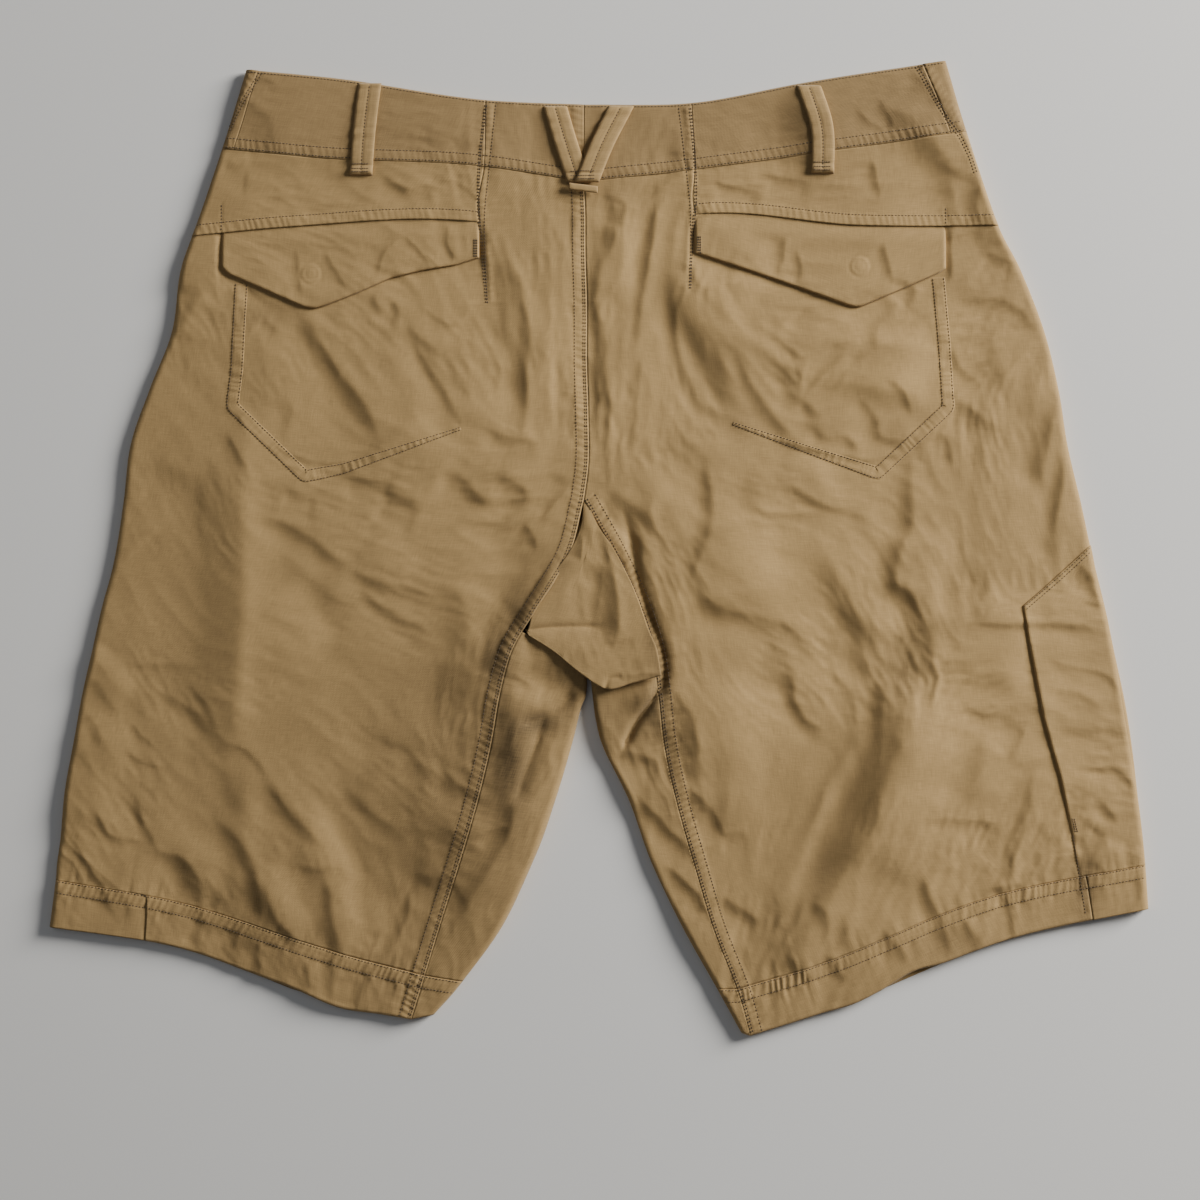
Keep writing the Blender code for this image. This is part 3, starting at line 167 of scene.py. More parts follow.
# Folds. Along each line the cloth falls away from the upper right by the drop, within the half width on each
# side of the line, and comes back gently further off; a drop below zero rises instead.
FOLDS = (
    # line, drop, half width and, where it differs, skew
    # left leg and side
    (((-238, 85), (-241, 40), (-242, -10), (-243, -60), (-244, -100), (-247, -148)), 11, 14, 0.8),
    (((-243, -129), (-230, -136), (-219, -150)), 1.2, 2),
    (((-220, -152), (-212, -164), (-200, -181), (-185, -196)), 3.4, 4),
    (((-307, -165), (-302, -180), (-293, -197)), 2.1, 3),
    (((-296, -200), (-278, -205), (-268, -214), (-265, -234)), 2.9, 4),
    (((-252, -180), (-238, -194), (-229, -212), (-224, -232), (-224, -248)), 2.6, 3.2),
    (((-244, -205), (-243, -240)), 1.4, 5),
    (((-221, -222), (-216, -238), (-208, -252), (-198, -262)), 2.9, 3),
    (((-200, -209), (-188, -212), (-171, -210)), 2, 3),
    (((-183, -217), (-178, -232), (-176, -250), (-172, -272)), 3.5, 3.5),
    (((-190, -165), (-172, -195), (-163, -220), (-160, -262)), -5.2, 9),
    (((-124, -110), (-122, -150), (-122, -190), (-116, -215)), 4, 14),
    (((-84, -30), (-90, -62), (-92, -110), (-94, -160), (-100, -210), (-112, -255)), 9, 22, 0),
    (((-140, 15), (-128, 0), (-116, -15)), -2, 10),
    (((-200, -20), (-188, -45), (-175, -65)), -2, 12),
    (((-212, -205), (-200, -232), (-190, -255)), -3, 7),
    (((-60, 110), (-48, 80), (-30, 60)), -2.5, 16),
    (((-120, 90), (-105, 70), (-90, 60)), -2, 12),
    (((-310, -110), (-316, -150), (-322, -190)), -2, 12),
    (((-62, -88), (-61, -104), (-60, -125), (-60, -150), (-65, -188)), 13, 9, 0.5),
    (((-28, -4), (-43, -27), (-55, -46), (-66, -65), (-73, -79)), 12, 11, 0.4),
    (((-30, -10), (-44, -31), (-56, -50), (-67, -70)), 4, 8, 0.5),
    (((-100, -22), (-93, -45), (-88, -70)), 3.6, 9),
    (((-145, -128), (-130, -131), (-120, -142), (-110, -150)), 1.3, 3),
    (((-104, -147), (-90, -158), (-76, -166)), 1.7, 2.5),
    (((-126, -185), (-105, -188), (-90, -187)), 1.3, 3),
    (((-152, -268), (-145, -256)), 1.6, 2),
    (((-142, -270), (-133, -255), (-128, -240), (-125, -226)), 2.8, 3.5),
    (((-122, -214), (-110, -220), (-99, -214)), 2.2, 4),
    (((-212, -5), (-192, -22), (-175, -34), (-164, -37)), 2.1, 6),
    (((-156, -28), (-146, -37), (-132, -47), (-113, -56)), 1.7, 2.5),
    (((-220, 20), (-205, 13), (-188, 3), (-168, -12)), 3.4, 4),
    (((-163, -16), (-142, -25), (-112, -31)), 1.6, 3),
    (((-206, 39), (-198, 36), (-187, 35)), 2.1, 3),
    (((-168, 46), (-150, 43), (-136, 43)), 2, 2.5),
    (((-142, 38), (-130, 32), (-118, 28)), 2.3, 5),
    (((-102, 50), (-90, 44), (-82, 36), (-77, 29)), 2.5, 4),
    (((-68, 45), (-55, 40), (-46, 30)), 2.3, 5),
    (((-50, 16), (-44, 8), (-42, -1)), 1.4, 2.5),
    (((-19, 42), (-30, 30), (-39, 18)), 1.3, 2),
    (((-203, 95), (-206, 80), (-210, 68)), 1, 3),
    (((-245, 75), (-238, 62), (-232, 52)), 1.2, 2),
    (((-294, 56), (-278, 48), (-260, 47)), 1.6, 7),
    (((-313, -9), (-302, 2), (-289, 12)), -0.9, 1.6),
    (((-332, -62), (-320, -75), (-304, -93)), -2.1, 6),
    (((-334, -86), (-326, -100), (-318, -108)), 1.7, 4),
    (((-308, -77), (-290, -78), (-268, -78)), 0.8, 2.5),
    (((-290, -95), (-272, -106), (-256, -122)), 1.3, 3),
    (((-268, -92), (-259, -106), (-252, -120)), 1.2, 2),
    (((-308, -116), (-302, -124), (-294, -131)), 1, 1.6),
    (((-313, -134), (-302, -141), (-287, -145)), 0.9, 1.6),
    (((-340, -108), (-333, -118), (-330, -132)), 1, 3),
    (((-332, -174), (-325, -188), (-300, -194)), 1.4, 2.2),
    (((-350, -190), (-340, -205), (-330, -222), (-320, -242)), 2, 2.5),
    (((-357, -200), (-345, -212), (-337, -230)), 1.3, 2),
    (((-262, -238), (-266, -264)), 1.8, 3),
    (((-240, -250), (-240, -277)), 2.2, 4),
    (((-226, -260), (-225, -284)), 2.6, 3),
    (((-196, -272), (-190, -292)), 1.7, 4),
    (((-176, -268), (-177, -300)), 2, 2.5),
    (((-157, -284), (-160, -305)), 1.4, 3),
    # left seat, yoke and band
    (((-206, 160), (-195, 150), (-187, 136), (-172, 115), (-158, 97), (-147, 72)), 5.5, 5),
    (((-234, 172), (-220, 163), (-205, 155)), 2.5, 3.5),
    (((-222, 152), (-212, 144)), 0.9, 2),
    (((-150, 168), (-147, 160), (-145, 152)), 1.3, 2.5),
    (((-136, 163), (-133, 155), (-137, 144)), 1.7, 2.5),
    (((-118, 160), (-107, 151), (-97, 147), (-80, 161)), 0.8, 1.6),
    (((-128, 146), (-118, 138), (-104, 127)), 1.4, 3),
    (((-122, 135), (-112, 118), (-101, 100), (-90, 81)), 2.1, 2.4),
    (((-101, 130), (-95, 115), (-84, 99)), 0.9, 3),
    (((-64, 198), (-56, 177), (-50, 150), (-49, 120), (-51, 78)), 5.9, 4),
    (((-72, 210), (-75, 185), (-74, 163)), 1.7, 4),
    (((-74, 78), (-60, 72), (-41, 70)), 2, 3),
    (((-25, 126), (-22, 106), (-20, 94)), 0.8, 2),
    (((-265, 170), (-272, 156), (-281, 142)), 3.5, 5),
    (((-143, 246), (-134, 240), (-127, 236), (-112, 240)), 2.6, 2.5),
    (((-110, 241), (-94, 241), (-79, 229)), 0.8, 1.6),
    (((-197, 225), (-178, 226), (-160, 227)), 0.7, 1.6),
    (((-236, 297), (-222, 281), (-214, 261)), 2.8, 8),
    (((-246, 256), (-238, 251), (-231, 250)), 1, 3),
    (((-231, 309), (-222, 309), (-213, 307)), 0.9, 1.5),
    (((-140, 278), (-110, 272), (-80, 268)), 0.5, 3),
    (((-200, 196), (-198, 181), (-197, 166)), 1, 2),
    (((-181, 195), (-175, 185), (-167, 171)), 1.2, 2),
    (((-132, 205), (-142, 195), (-147, 180)), 0.7, 1.6),
    (((-128, 205), (-118, 195), (-112, 187)), 0.7, 1.6),
    (((-100, 213), (-100, 200), (-94, 190)), 0.9, 1.6),
    (((-66, 190), (-64, 165), (-60, 130)), 3, 5, 0.3),
    (((-212, 66), (-200, 60), (-188, 56.5), (-174, 55.5), (-162, 58.5)), 2.2, 1.4, 0.5),
    (((-140, -128), (-150, -148), (-166, -166)), 4, 9, 0.2),
    (((-232, -130), (-238, -170), (-236, -215), (-215, -250)), 4, 9, 0.3),
    (((-285, -200), (-258, -228), (-226, -256), (-192, -280)), 3.8, 9, 0.3),
    # right seat, yoke and band
    (((3, 237), (9, 222), (9, 206), (0, 187), (-5, 165), (1, 146), (3, 110), (4, 62)), 5.3, 4.5),
    (((60, 254), (48, 246), (36, 235), (22, 221)), 3.6, 4),
    (((18, 229), (15, 219), (14, 211)), 2.1, 2.5),
    (((46, 236), (38, 224), (35, 204), (29, 175), (24, 133)), 3, 2.6),
    (((27, 125), (24, 100), (22, 66)), 1.7, 2.5),
    (((48, 186), (48, 170), (56, 149), (68, 127), (82, 105), (92, 92)), 8, 8, -0.3),
    (((49, 162), (51, 135), (58, 109), (78, 81)), 3.2, 2.8),
    (((70, 145), (92, 135), (115, 122), (138, 108)), 4.7, 8),
    (((90, 126), (100, 107), (109, 93), (122, 77), (132, 70)), 4.5, 3.5),
    (((120, 104), (135, 95), (146, 87)), 1.8, 3),
    (((140, 79), (152, 72), (162, 72), (171, 64)), 3.8, 3.2),
    (((182, 84), (186, 73), (197, 70), (211, 75)), 3.2, 3),
    (((172, 98), (180, 88), (185, 80)), 1.7, 2.5),
    (((190, 111), (200, 103), (206, 88)), 1.3, 2),
    (((120, 144), (130, 155), (145, 160), (156, 163)), 1.6, 2),
    (((196, 161), (188, 151), (182, 143), (181, 131)), 2.3, 3),
    (((208, 174), (205, 164), (202, 159)), 2.1, 3),
    (((122, 206), (120, 191), (118, 180)), 1.6, 2.5),
    (((130, 196), (133, 183), (130, 174)), 1.3, 2),
    (((186, 201), (190, 190), (193, 177)), 1.7, 2.5),
    (((62, 187), (63, 177), (67, 171)), 2.1, 2),
    (((76, 241), (90, 237), (106, 235)), 2.6, 2),
    (((109, 246), (125, 243), (139, 242)), 2.3, 2),
    (((180, 256), (183, 241), (185, 232)), 2.3, 2.5),
    (((124, 302), (130, 282), (135, 264), (138, 249)), 8.3, 9),
    (((170, 289), (178, 281), (187, 276)), 1.3, 2),
    (((185, 296), (190, 286), (194, 277)), 1.8, 2.5),
    (((192, 290), (210, 276), (224, 256), (236, 238)), 7.8, 8),
    (((230, 243), (233, 227), (235, 211)), 3.8, 6),
    (((252, 242), (246, 228), (250, 213)), 2.6, 4),
    (((205, 315), (216, 305), (226, 288)), 1.3, 3),
    (((228, 203), (240, 207), (251, 210)), 1.6, 2),
    (((255, 195), (264, 190), (273, 188)), 1.7, 3),
    (((238, 163), (255, 163), (266, 163), (288, 145)), 2.6, 3),
    (((232, 131), (236, 120), (252, 107)), 1.7, 2.5),
    (((256, 128), (264, 116), (272, 108)), 2.1, 7),
    (((235, 98), (247, 89), (263, 77)), 2.6, 4),
    (((225, 77), (230, 66), (233, 56)), 2.6, 3),
    (((214, 142), (212, 118), (208, 92)), -4, 13),
    (((250, 272), (256, 236), (272, 186)), 5.5, 10),
    (((-12, 205), (-14, 150), (-18, 90)), -2.5, 9),
    (((24, 215), (20, 190), (22, 165)), -2, 6),
    (((120, 72), (141, 64.5), (160, 60), (180, 58), (196, 61.5), (212, 71)), 2.4, 1.6, 0.5),
    (((120, 190), (95, 160), (80, 145)), -2, 9),
    (((150, 62), (120, 50), (95, 48)), -2, 8),
    (((299, 94), (296, 76), (291, 56), (290, 38)), 4.5, 4.5),
    (((306, 60), (304, 38), (300, 14), (300, -12)), 4.4, 3.5),
    # right leg
    (((7, 38), (20, 27), (37, 18)), 7, 6),
    (((18, 10), (23, -15), (31, -42), (38, -66), (44, -102)), 9, 5),
    (((200, -50), (207, -66), (212, -86)), 6, 9, 0.3),
    (((70, 57), (72, 34), (72, 14), (66, -3), (61, -20)), 3.6, 3.5),
    (((60, -25), (76, -39), (100, -46), (128, -55), (142, -72)), 2.6, 4),
    (((119, 43), (135, 35), (150, 27), (174, 25)), 2.6, 3),
    (((95, 25), (120, 22), (146, 22)), 1.6, 3),
    (((205, 58), (204, 35), (203, 12), (195, -8), (194, -23), (206, -35), (215, -52), (219, -98)), 6.8, 4.5),
    (((222, -48), (236, -42), (250, -34), (259, -18)), 2.9, 5),
    (((146, -8), (156, -30), (168, -47), (184, -62)), 5.7, 8),
    (((150, -60), (166, -72), (182, -84)), 2.5, 6),
    (((125, -84), (128, -100), (134, -113), (147, -120)), 4, 3),
    (((112, -62), (122, -74), (128, -90)), 2.5, 6),
    (((205, -80), (199, -112), (185, -146), (173, -178), (156, -207), (135, -242), (116, -272)),
     24, 20, 0.7),
    (((206, -66), (203, -90), (197, -116), (187, -146), (176, -178), (160, -207), (142, -236)), 5.5, 10, 0.8),
    (((183, -89), (186, -100), (185, -113)), 3, 3),
    (((178, -122), (160, -154), (143, -188), (130, -220), (120, -250)), -4, 5, -0.3),
    (((165, -128), (150, -155), (139, -184)), 1.3, 3),
    (((286, -148), (282, -170), (275, -198), (270, -216), (256, -226)), 4.4, 3.5),
    (((281, -118), (275, -130), (269, -139)), 2.2, 2.5),
    (((242, -50), (270, -51), (300, -51), (331, -53)), 2.7, 2),
    (((298, -75), (318, -80), (334, -84), (346, -101)), 1.7, 2.4),
    (((296, -93), (316, -97), (332, -106)), 1.2, 3),
    (((300, -118), (318, -121), (340, -117)), 1.2, 3),
    (((315, -9), (325, -25), (331, -41)), 2.2, 4),
    (((322, -147), (335, -145), (350, -154), (357, -161)), 2.1, 2),
    (((319, -171), (330, -168), (341, -181)), 2.2, 3),
    (((335, -190), (328, -198), (321, -206)), 3.2, 4),
    (((212, -214), (217, -230), (225, -246), (231, -267)), 3.2, 3.5),
    (((258, -226), (268, -224), (280, -222)), 2.1, 3),
    (((268, -226), (272, -245), (274, -260)), 2.1, 2),
    (((302, -194), (292, -204), (284, -214)), 1.7, 2),
    (((215, -180), (240, -180), (264, -183)), 1.3, 2.5),
    (((252, -120), (247, -145), (245, -168)), 4.2, 8),
    (((240, -104), (256, -111), (270, -108)), 1.3, 2.5),
    (((44, -112), (54, -130), (66, -152)), 5.2, 8),
    (((24, -164), (38, -179), (52, -193), (63, -204)), 4, 3.5),
    (((44, -211), (60, -224), (72, -242)), 3.4, 3),
    (((58, -158), (74, -174), (82, -188)), 2.6, 3),
    (((80, -190), (97, -188)), 1.3, 2.5),
    (((80, -230), (94, -240), (106, -246)), 2.2, 3),
    (((139, -234), (148, -240), (150, -254)), 2.3, 3),
    (((124, -268), (134, -280), (141, -286)), 2.1, 3),
    (((150, -268), (157, -279), (163, -285)), 2.1, 3),
    (((160, -240), (163, -256), (166, -268)), 1.7, 3),
    (((100, 32), (108, 0), (116, -38)), -6, 22),
    (((98, -80), (102, -120), (98, -185)), -4, 18),
    (((290, -38), (282, -65), (276, -96)), -3, 10),
    (((250, -115), (232, -150), (208, -225)), -4, 14),
    (((228, 10), (226, -15), (222, -38)), -2.5, 8),
    (((187, -252), (195, -262), (203, -274)), 2.1, 3),
    (((238, -246), (246, -256), (252, -262)), 2.6, 4),
    # gusset
    (((-57, -82), (-50, -88), (-44, -92)), 1.6, 2),
    (((-10, -80), (-20, -93), (-32, -103), (-52, -111)), -4, 3),
    (((-60, -183), (-70, -186), (-82, -191)), 1.2, 2),
    (((-52, -165), (-62, -190), (-80, -220), (-97, -252)), 4, 4, 0.5),
    (((10, -130), (24, -137), (40, -142)), 2.5, 4),
    (((44, -92), (54, -104), (62, -120), (66, -140)), 3, 4),
)
# Troughs pressed into the cloth, deepest along their line.
TROUGHS = (
    # line, depth, half width
    (((-36, -14), (-48, -34), (-58, -50), (-66, -63)), 1.5, 5),
    (((19, 14), (23, -2), (25, -16), (30, -34), (35, -48), (40, -62), (43, -75), (43, -90)), 3.6, 3.6),
    (((42, -88), (34, -102), (26, -113), (17, -130)), 4.2, 2.6),
    (((-38, -114), (-42, -130), (-48, -146), (-54, -164)), 3.2, 4.5),
    (((-18, -97), (-30, -108), (-48, -116)), 2.4, 3.5),
)
# Places where the cloth stands higher, or lower below zero: middle, half widths and height.
SWELLS = (
    (-38, -86, 22, 15, -4.5),
    (-47, -62, 12, 13, -3),
    (31, -98, 11, 11, 4),
)
# Direction of the small wrinkles, in degrees from the waist's line, at places on the cloth.
PULLS = (
    # x, y, direction
    (-180, 240, -8), (-180, 180, -20), (-170, 120, -50), (-215, 120, -62), (-110, 120, -60), (-40, 200, -82),
    (-35, 110, -86), (-150, 50, -8), (-80, 45, -6), (-40, 35, 35), (-150, 0, -22), (-290, 90, -70),
    (-300, 0, -60), (-210, -60, -25), (-120, -50, -20), (-85, -90, 78), (-330, -120, -55), (-230, -150, -52),
    (-130, -160, -40), (-310, -200, -50), (-240, -230, -60), (-150, -250, -82), (-60, -170, 68),
    (40, 200, 70), (25, 110, 86), (80, 120, -50), (120, 240, 8), (160, 180, 12), (190, 110, 40),
    (240, 150, 30),
    (100, 30, -12), (40, 10, -55), (170, 20, -15), (190, -20, -75), (270, 60, -78), (110, -60, -25),
    (60, -60, -75), (180, -80, -50), (210, -120, 78), (250, -110, 10), (160, -190, 62), (100, -200, 75),
    (270, -190, 68), (330, -120, -10), (130, -270, 60), (220, -240, 55), (50, -150, -70),
)
PULL_REACH = 38.0
# Places where the cloth is crumpled: middle, half widths and how much more than elsewhere.
CRUMPLED = (
    # x, y, half width, half length, further crumple
    (-290, 30, 55, 120, -0.6),
    (-200, -60, 70, 80, -0.35),
    (-235, -215, 80, 45, -0.2),
    (195, -85, 55, 35, 1.6),
    (260, -190, 60, 50, 0.8),
    (330, -110, 35, 110, 0.1),
    (-20, -95, 45, 45, 0.8),
    (20, 90, 60, 110, 0.5),
    (-150, 105, 60, 40, -0.15),
    (150, 110, 60, 45, 0.6),
    (250, 150, 30, 70, 1),
    (130, -260, 60, 30, 0.9),
    (120, -140, 50, 60, -0.4),
    (-60, 20, 50, 40, 0.7),
)

# Painted light and shade: places where the cloth's colour is made lighter, or darker below zero, standing in
# for light on slopes and for shade in hollows, under the flaps and round the gusset's folds: middle, half
# widths and by how much.
PAINTED_LIGHT_AND_SHADE = (
    # x, y, half width, half length, painted light, painted shade below zero
    (0, 110, 110, 110, 0.1),
    (120, -10, 90, 110, 0.11),
    (310, -110, 50, 100, 0.07),
    (-90, -150, 45, 100, -0.2),
    (-170, -230, 130, 90, -0.14),
    (190, 275, 90, 50, -0.12),
    (30, -115, 30, 25, -0.2),
    (-285, -40, 45, 120, -0.08),
    (-12, -45, 28, 35, -0.14),
    (35, -52, 5, 20, -0.4),
    (36, -108, 8, 12, -0.3),
    (2, -108, 9, 14, -0.2),
    (-16, -104, 11, 15, -0.3),
    (-40, -117, 16, 7, -0.3),
    (-52, -42, 11, 20, -0.35),
    (-67, -66, 11, 14, -0.35),
    (-22, -84, 9, 9, -0.15),
    (-67, -82, 9, 15, -0.35),
    (-34, -112, 13, 9, -0.25),
    (36, -96, 9, 11, -0.25),
    (200, -86, 13, 26, -0.2),
    (147, -216, 11, 20, -0.15),
    (62, -38, 28, 12, 0.15),
    (-24, -8, 8, 12, -0.25),
    (245, -80, 24, 16, 0.15),
    (-125, -100, 26, 50, -0.1),
    (115, -5, 30, 16, 0.12),
    (226, 140, 17, 18, 0.12),
    (-78, -245, 18, 16, 0.22),
    (43, -78, 7, 20, -0.4),
    (-57, -140, 15, 38, -0.5),
    (321, -222, 8, 24, -0.5),
    (228, -262, 24, 11, -0.25),
    (182, 110, 50, 14, 0.2),
    (50, 200, 24, 36, 0.1),
    (92, 84, 18, 14, -0.18),
    (64, 122, 12, 20, -0.15),
    (-145, -282, 16, 16, -0.15),
    (-222, 153, 30, 8, -0.2),
    (-36, 265, 7, 22, 0.2),
    (14, 236, 14, 14, -0.22),
    (-147, 285, 9, 26, -0.15),
)

# ---------------------------------------------------------------- pieces that lie on the panels
# A flap hangs from the yoke seam; its lower edge runs through these points.
LEFT_FLAP_EDGE = ((-249, 186), (-245, 181), (-195, 159), (-188, 158), (-182, 159.5), (-160, 168), (-138, 178),
                  (-118, 183), (-94, 187), (-79, 192))
RIGHT_FLAP_EDGE = ((63, 195), (120, 176), (163, 160.5), (169, 159), (173, 159.5), (200, 171), (225, 182),
                   (229, 185))
LEFT_SNAP = (-190, 181)
RIGHT_SNAP = (172, 186)
SNAP_RADIUS = 6.0          # of the round that a snap presses through the flap,
SNAP_RISE = 0.4            # its height,
SNAP_RINGS = ((0.62, 0.14, 0.22), (1.2, 0.2, 0.15))    # and its grooves: radius, half width, depth
FLAP_RIM = (2.2, 1.1)      # radius of a flap's rounded rim, and how far it comes down
FLAP_BULGE = 0.3           # a flap stands this much higher towards its lower edge
FLAP_PUCKER = 0.22         # height of the gathers at its lower edge,
FLAP_PUCKER_LENGTH = 5.5   # their spacing,
FLAP_PUCKER_REACH = 5.0    # and how far up they run
FLAP_TACKS = (("left", -81.5, 204, 192), ("right", 66, 206, 194))    # x, top and bottom in plan
# The stitched edge of a pocket bag, along its middle.
LEFT_POCKET_EDGE = ((-236, 175), (-239, 118), (-242, 94), (-194, 47.5), (-169, 52.5), (-133, 64.5), (-91, 79))
RIGHT_POCKET_EDGE = ((224, 179), (228, 131), (230.5, 93), (184, 49.5), (140, 64.5), (88, 82.5))
POCKET_EDGES = (("left", LEFT_POCKET_EDGE), ("right", RIGHT_POCKET_EDGE))
POCKET_BAND = 9.0
POCKET_NARROW = 0.2        # share of its width that is left at its inner end
POCKET_TAPER = 98.0        # over this length
POCKET_WALL = 0.8
POCKET_RISE = 0.45         # how high the band stands
POCKET_ROW = 0.4           # its two rows of stitches lie this share of its width off its middle
POCKET_LADDER = 5.6        # spacing of the puckers between them
POCKET_PUCKER = 0.16       # and their height
# Cargo pocket on the outside of the right leg, from its slanted top seam down its open back edge.
CARGO_POCKET = (
    # place        edge          opening
    ("top",        (325, 2),     (322, 0)),
    ("slant",      (332, -32),   (292, -27)),
    ("corner",     (334, -38),   (279, -38)),
    ("opening_1",  (341, -72),   (285, -70)),
    ("opening_2",  (348, -112),  (293, -112)),
    ("opening_3",  (354, -150),  (304, -151)),
    ("bar_tack",   (359, -188),  (312, -189)),
    ("hem",        (361, -209),  (316, -217)),
)
CARGO_OPEN = (1.6, 6.2)    # it stands open between these rows of the table
CARGO_RIM = (1.4, 0.8)     # radius of its rounded open edge, and how far it comes down
CARGO_UNDER_STEPS = (48, 36, 25, 16, 8, 4)    # places of its columns on the under layer, from the edge
CARGO_SEAM_LIFT = 0.9      # its cloth stands this far above the panel
CARGO_LIFT = 1.2           # and the open edge this much more
CARGO_RUN_IN = 14.0        # it comes down to the panel over this length above the hem
CARGO_TURN_UNDER = 62.0    # how far the pocket reaches on the under layer
CARGO_TOP_GAP = 2.4        # there its top edge keeps clear of the front panel by this drop,
CARGO_TOP_SLOPE = 0.09     # and by this share of the way in
CARGO_HEM_SLOPE = 0.17     # how much its lower end falls towards the inseam there
BAR_TACK = ((312, -178), (314.5, -188))    # row of close stitches at the opening's lower end
BELT_LOOPS = (
    # name                  node                 top          bend         foot       further lift at its foot
    ("loop_side_left",    "belt_loop_left",    (-151, 307), (-154.5, 278), (-157, 246), 0),
    ("loop_side_right",   "belt_loop_right",   (138.3, 305.5), (147, 276), (147.5, 247), 0),
    ("loop_crossed_left", "belt_loop_v_left",  (-29, 292),  (-22, 268),  (-13, 241),  0),
    ("loop_crossed_right", "belt_loop_v_right", (15, 292),  (2, 266),    (-8, 241),   2.4),
)
CROSSED_BAR = (-10.3, 237.3, 19.0, 4.6, 4.4)    # bar at the crossed loops' foot: x, y, length, width, lift
LOOP_WIDTH = 15.0
LOOP_LIFT = 0.8            # height of a loop's arch over the waistband
LOOP_CLEARANCE = 0.2       # air under its ends
LOOP_PUCKER = 0.38
LOOP_ROLL = (6.6, 0.9)     # its foot's roll: where it ends, and its height
LOOP_ENDS = ((2.0, 1.8), (1.8, 1.6))    # rounding at its top and its foot: radius and drop
FRONT_LOOPS = (("loop_front_left", "belt_loop_front_left", -120, 298),
               ("loop_front_right", "belt_loop_front_right", 110, 298))
FRONT_LOOP_LENGTH = 40.0
# Gusset centre: six points of each row from left to right, in plan and height.
GUSSET_CENTRE = (
    ("apex", (-10, 31, 6.4), (-9.6, 31, 6.4), (-9.2, 31, 6.4),
     (-8.8, 31, 6.4), (-8.4, 31, 6.4), (-8, 31, 6.4)),
    ("seam_1", (-12, 14, 6.3), (-10, 14, 7), (-7.5, 14, 7.4),
     (-5, 14, 7.4), (-2.5, 14, 7.2), (0, 14, 6.9)),
    ("seam_2", (-20, -3, 7.6), (-13, -2, 8.4), (-7.5, -2, 8.8),
     (-2, -2, 8.9), (4, -1, 8.8), (9.5, 0, 8.6)),
    ("seam_3", (-32, -19, 9.2), (-19, -18, 9.9), (-10, -18, 9.8),
     (-1, -18, 10), (8, -18, 10.3), (19, -18, 10.6)),
    ("facet", (-41.5, -36, 10.4), (-25, -35, 11), (-13, -36, 10.6),
     (-1, -36, 11), (11, -35, 11.6), (26, -34, 12.1)),
    ("crease", (-46.5, -53, 12.6), (-31, -52, 11.7), (-17, -53, 11.2),
     (-3, -54, 11.4), (13, -55, 12.2), (33, -54, 12.8)),
    ("lower", (-47.5, -55, 12.6), (-33, -60, 12.6), (-17, -65, 12.4),
     (-2, -69, 12.2), (16, -70, 12.6), (38, -66, 13)),
    ("fold", (-46.5, -57, 12.8), (-30, -67.5, 12.9), (-12, -82, 13),
     (5, -92, 12.9), (22, -88, 13), (41, -83, 13.2)),
)
FACET_FOLDS = (
    # line, drop, half width, skew
    (((5, -6), (8, -20), (10, -38), (10, -52), (9, -64)), 5.5, 5, 0.8),
    (((1, -16), (-1, -34), (-3, -52)), 1.2, 2.5, 0.3),
    (((-1, 15), (5, 0), (6, -10)), 1.6, 2.4, 0.3),
    (((-12, 8), (-12.5, -8)), 1.6, 2.2, 0.8),
    (((-6, 15), (-6.5, 0)), 0.8, 1.8, 0),
    (((-14, -22), (-12, -36), (-11, -50)), 0.9, 2.5, 0.3),
    (((-24, -25), (-27, -40), (-30, -50)), 0.6, 3, 0.3),
    (((22, -58), (12, -62), (4, -62)), 0.8, 2, 0.3),
    (((-16, -66), (-10, -74), (-8, -80)), 0.8, 4, 0.3),
    (((22, -72), (26, -78), (30, -84)), 0.8, 4, 0),
)
FACET_TROUGHS = (
    # line, depth, half width
    (((-48, -54), (-35, -52.3), (-20, -51.6), (-2, -51.8)), 1.3, 2.4),
    (((3, -95), (7, -86.5), (14, -84.5)), 1, 1.6),
    (((44, -84), (32, -82), (20, -84)), -0.8, 3),
)
FACET_OVERHANG = 5.0       # its lower edge turns under and runs back by this much
FACET_TURN = (0.9, 1.5)    # half axes of that turn, outwards and down
FACET_WALL = 0.9
FACET_CRUMPLE = 0.2        # height of its small wrinkles
HEM_WAVES = (
    # x, half width, rise of the hem's edge
    (207, 15, 3.5),
    (168, 14, -1.5),
    (-205, 20, 1.5),
    (-170, 16, -1.5),
)
HEM_JOINS = (0.81, 0.42)   # column where the back hem meets the front hem, left and right leg
BAND_JOINS = (0.13, 0.16)  # the same for the waistband
HEM_TUCK = 0.9             # how far the left front hem dips under the back hem at its join
HEM_TUCK_RUN = 1.6         # and how far it runs on there

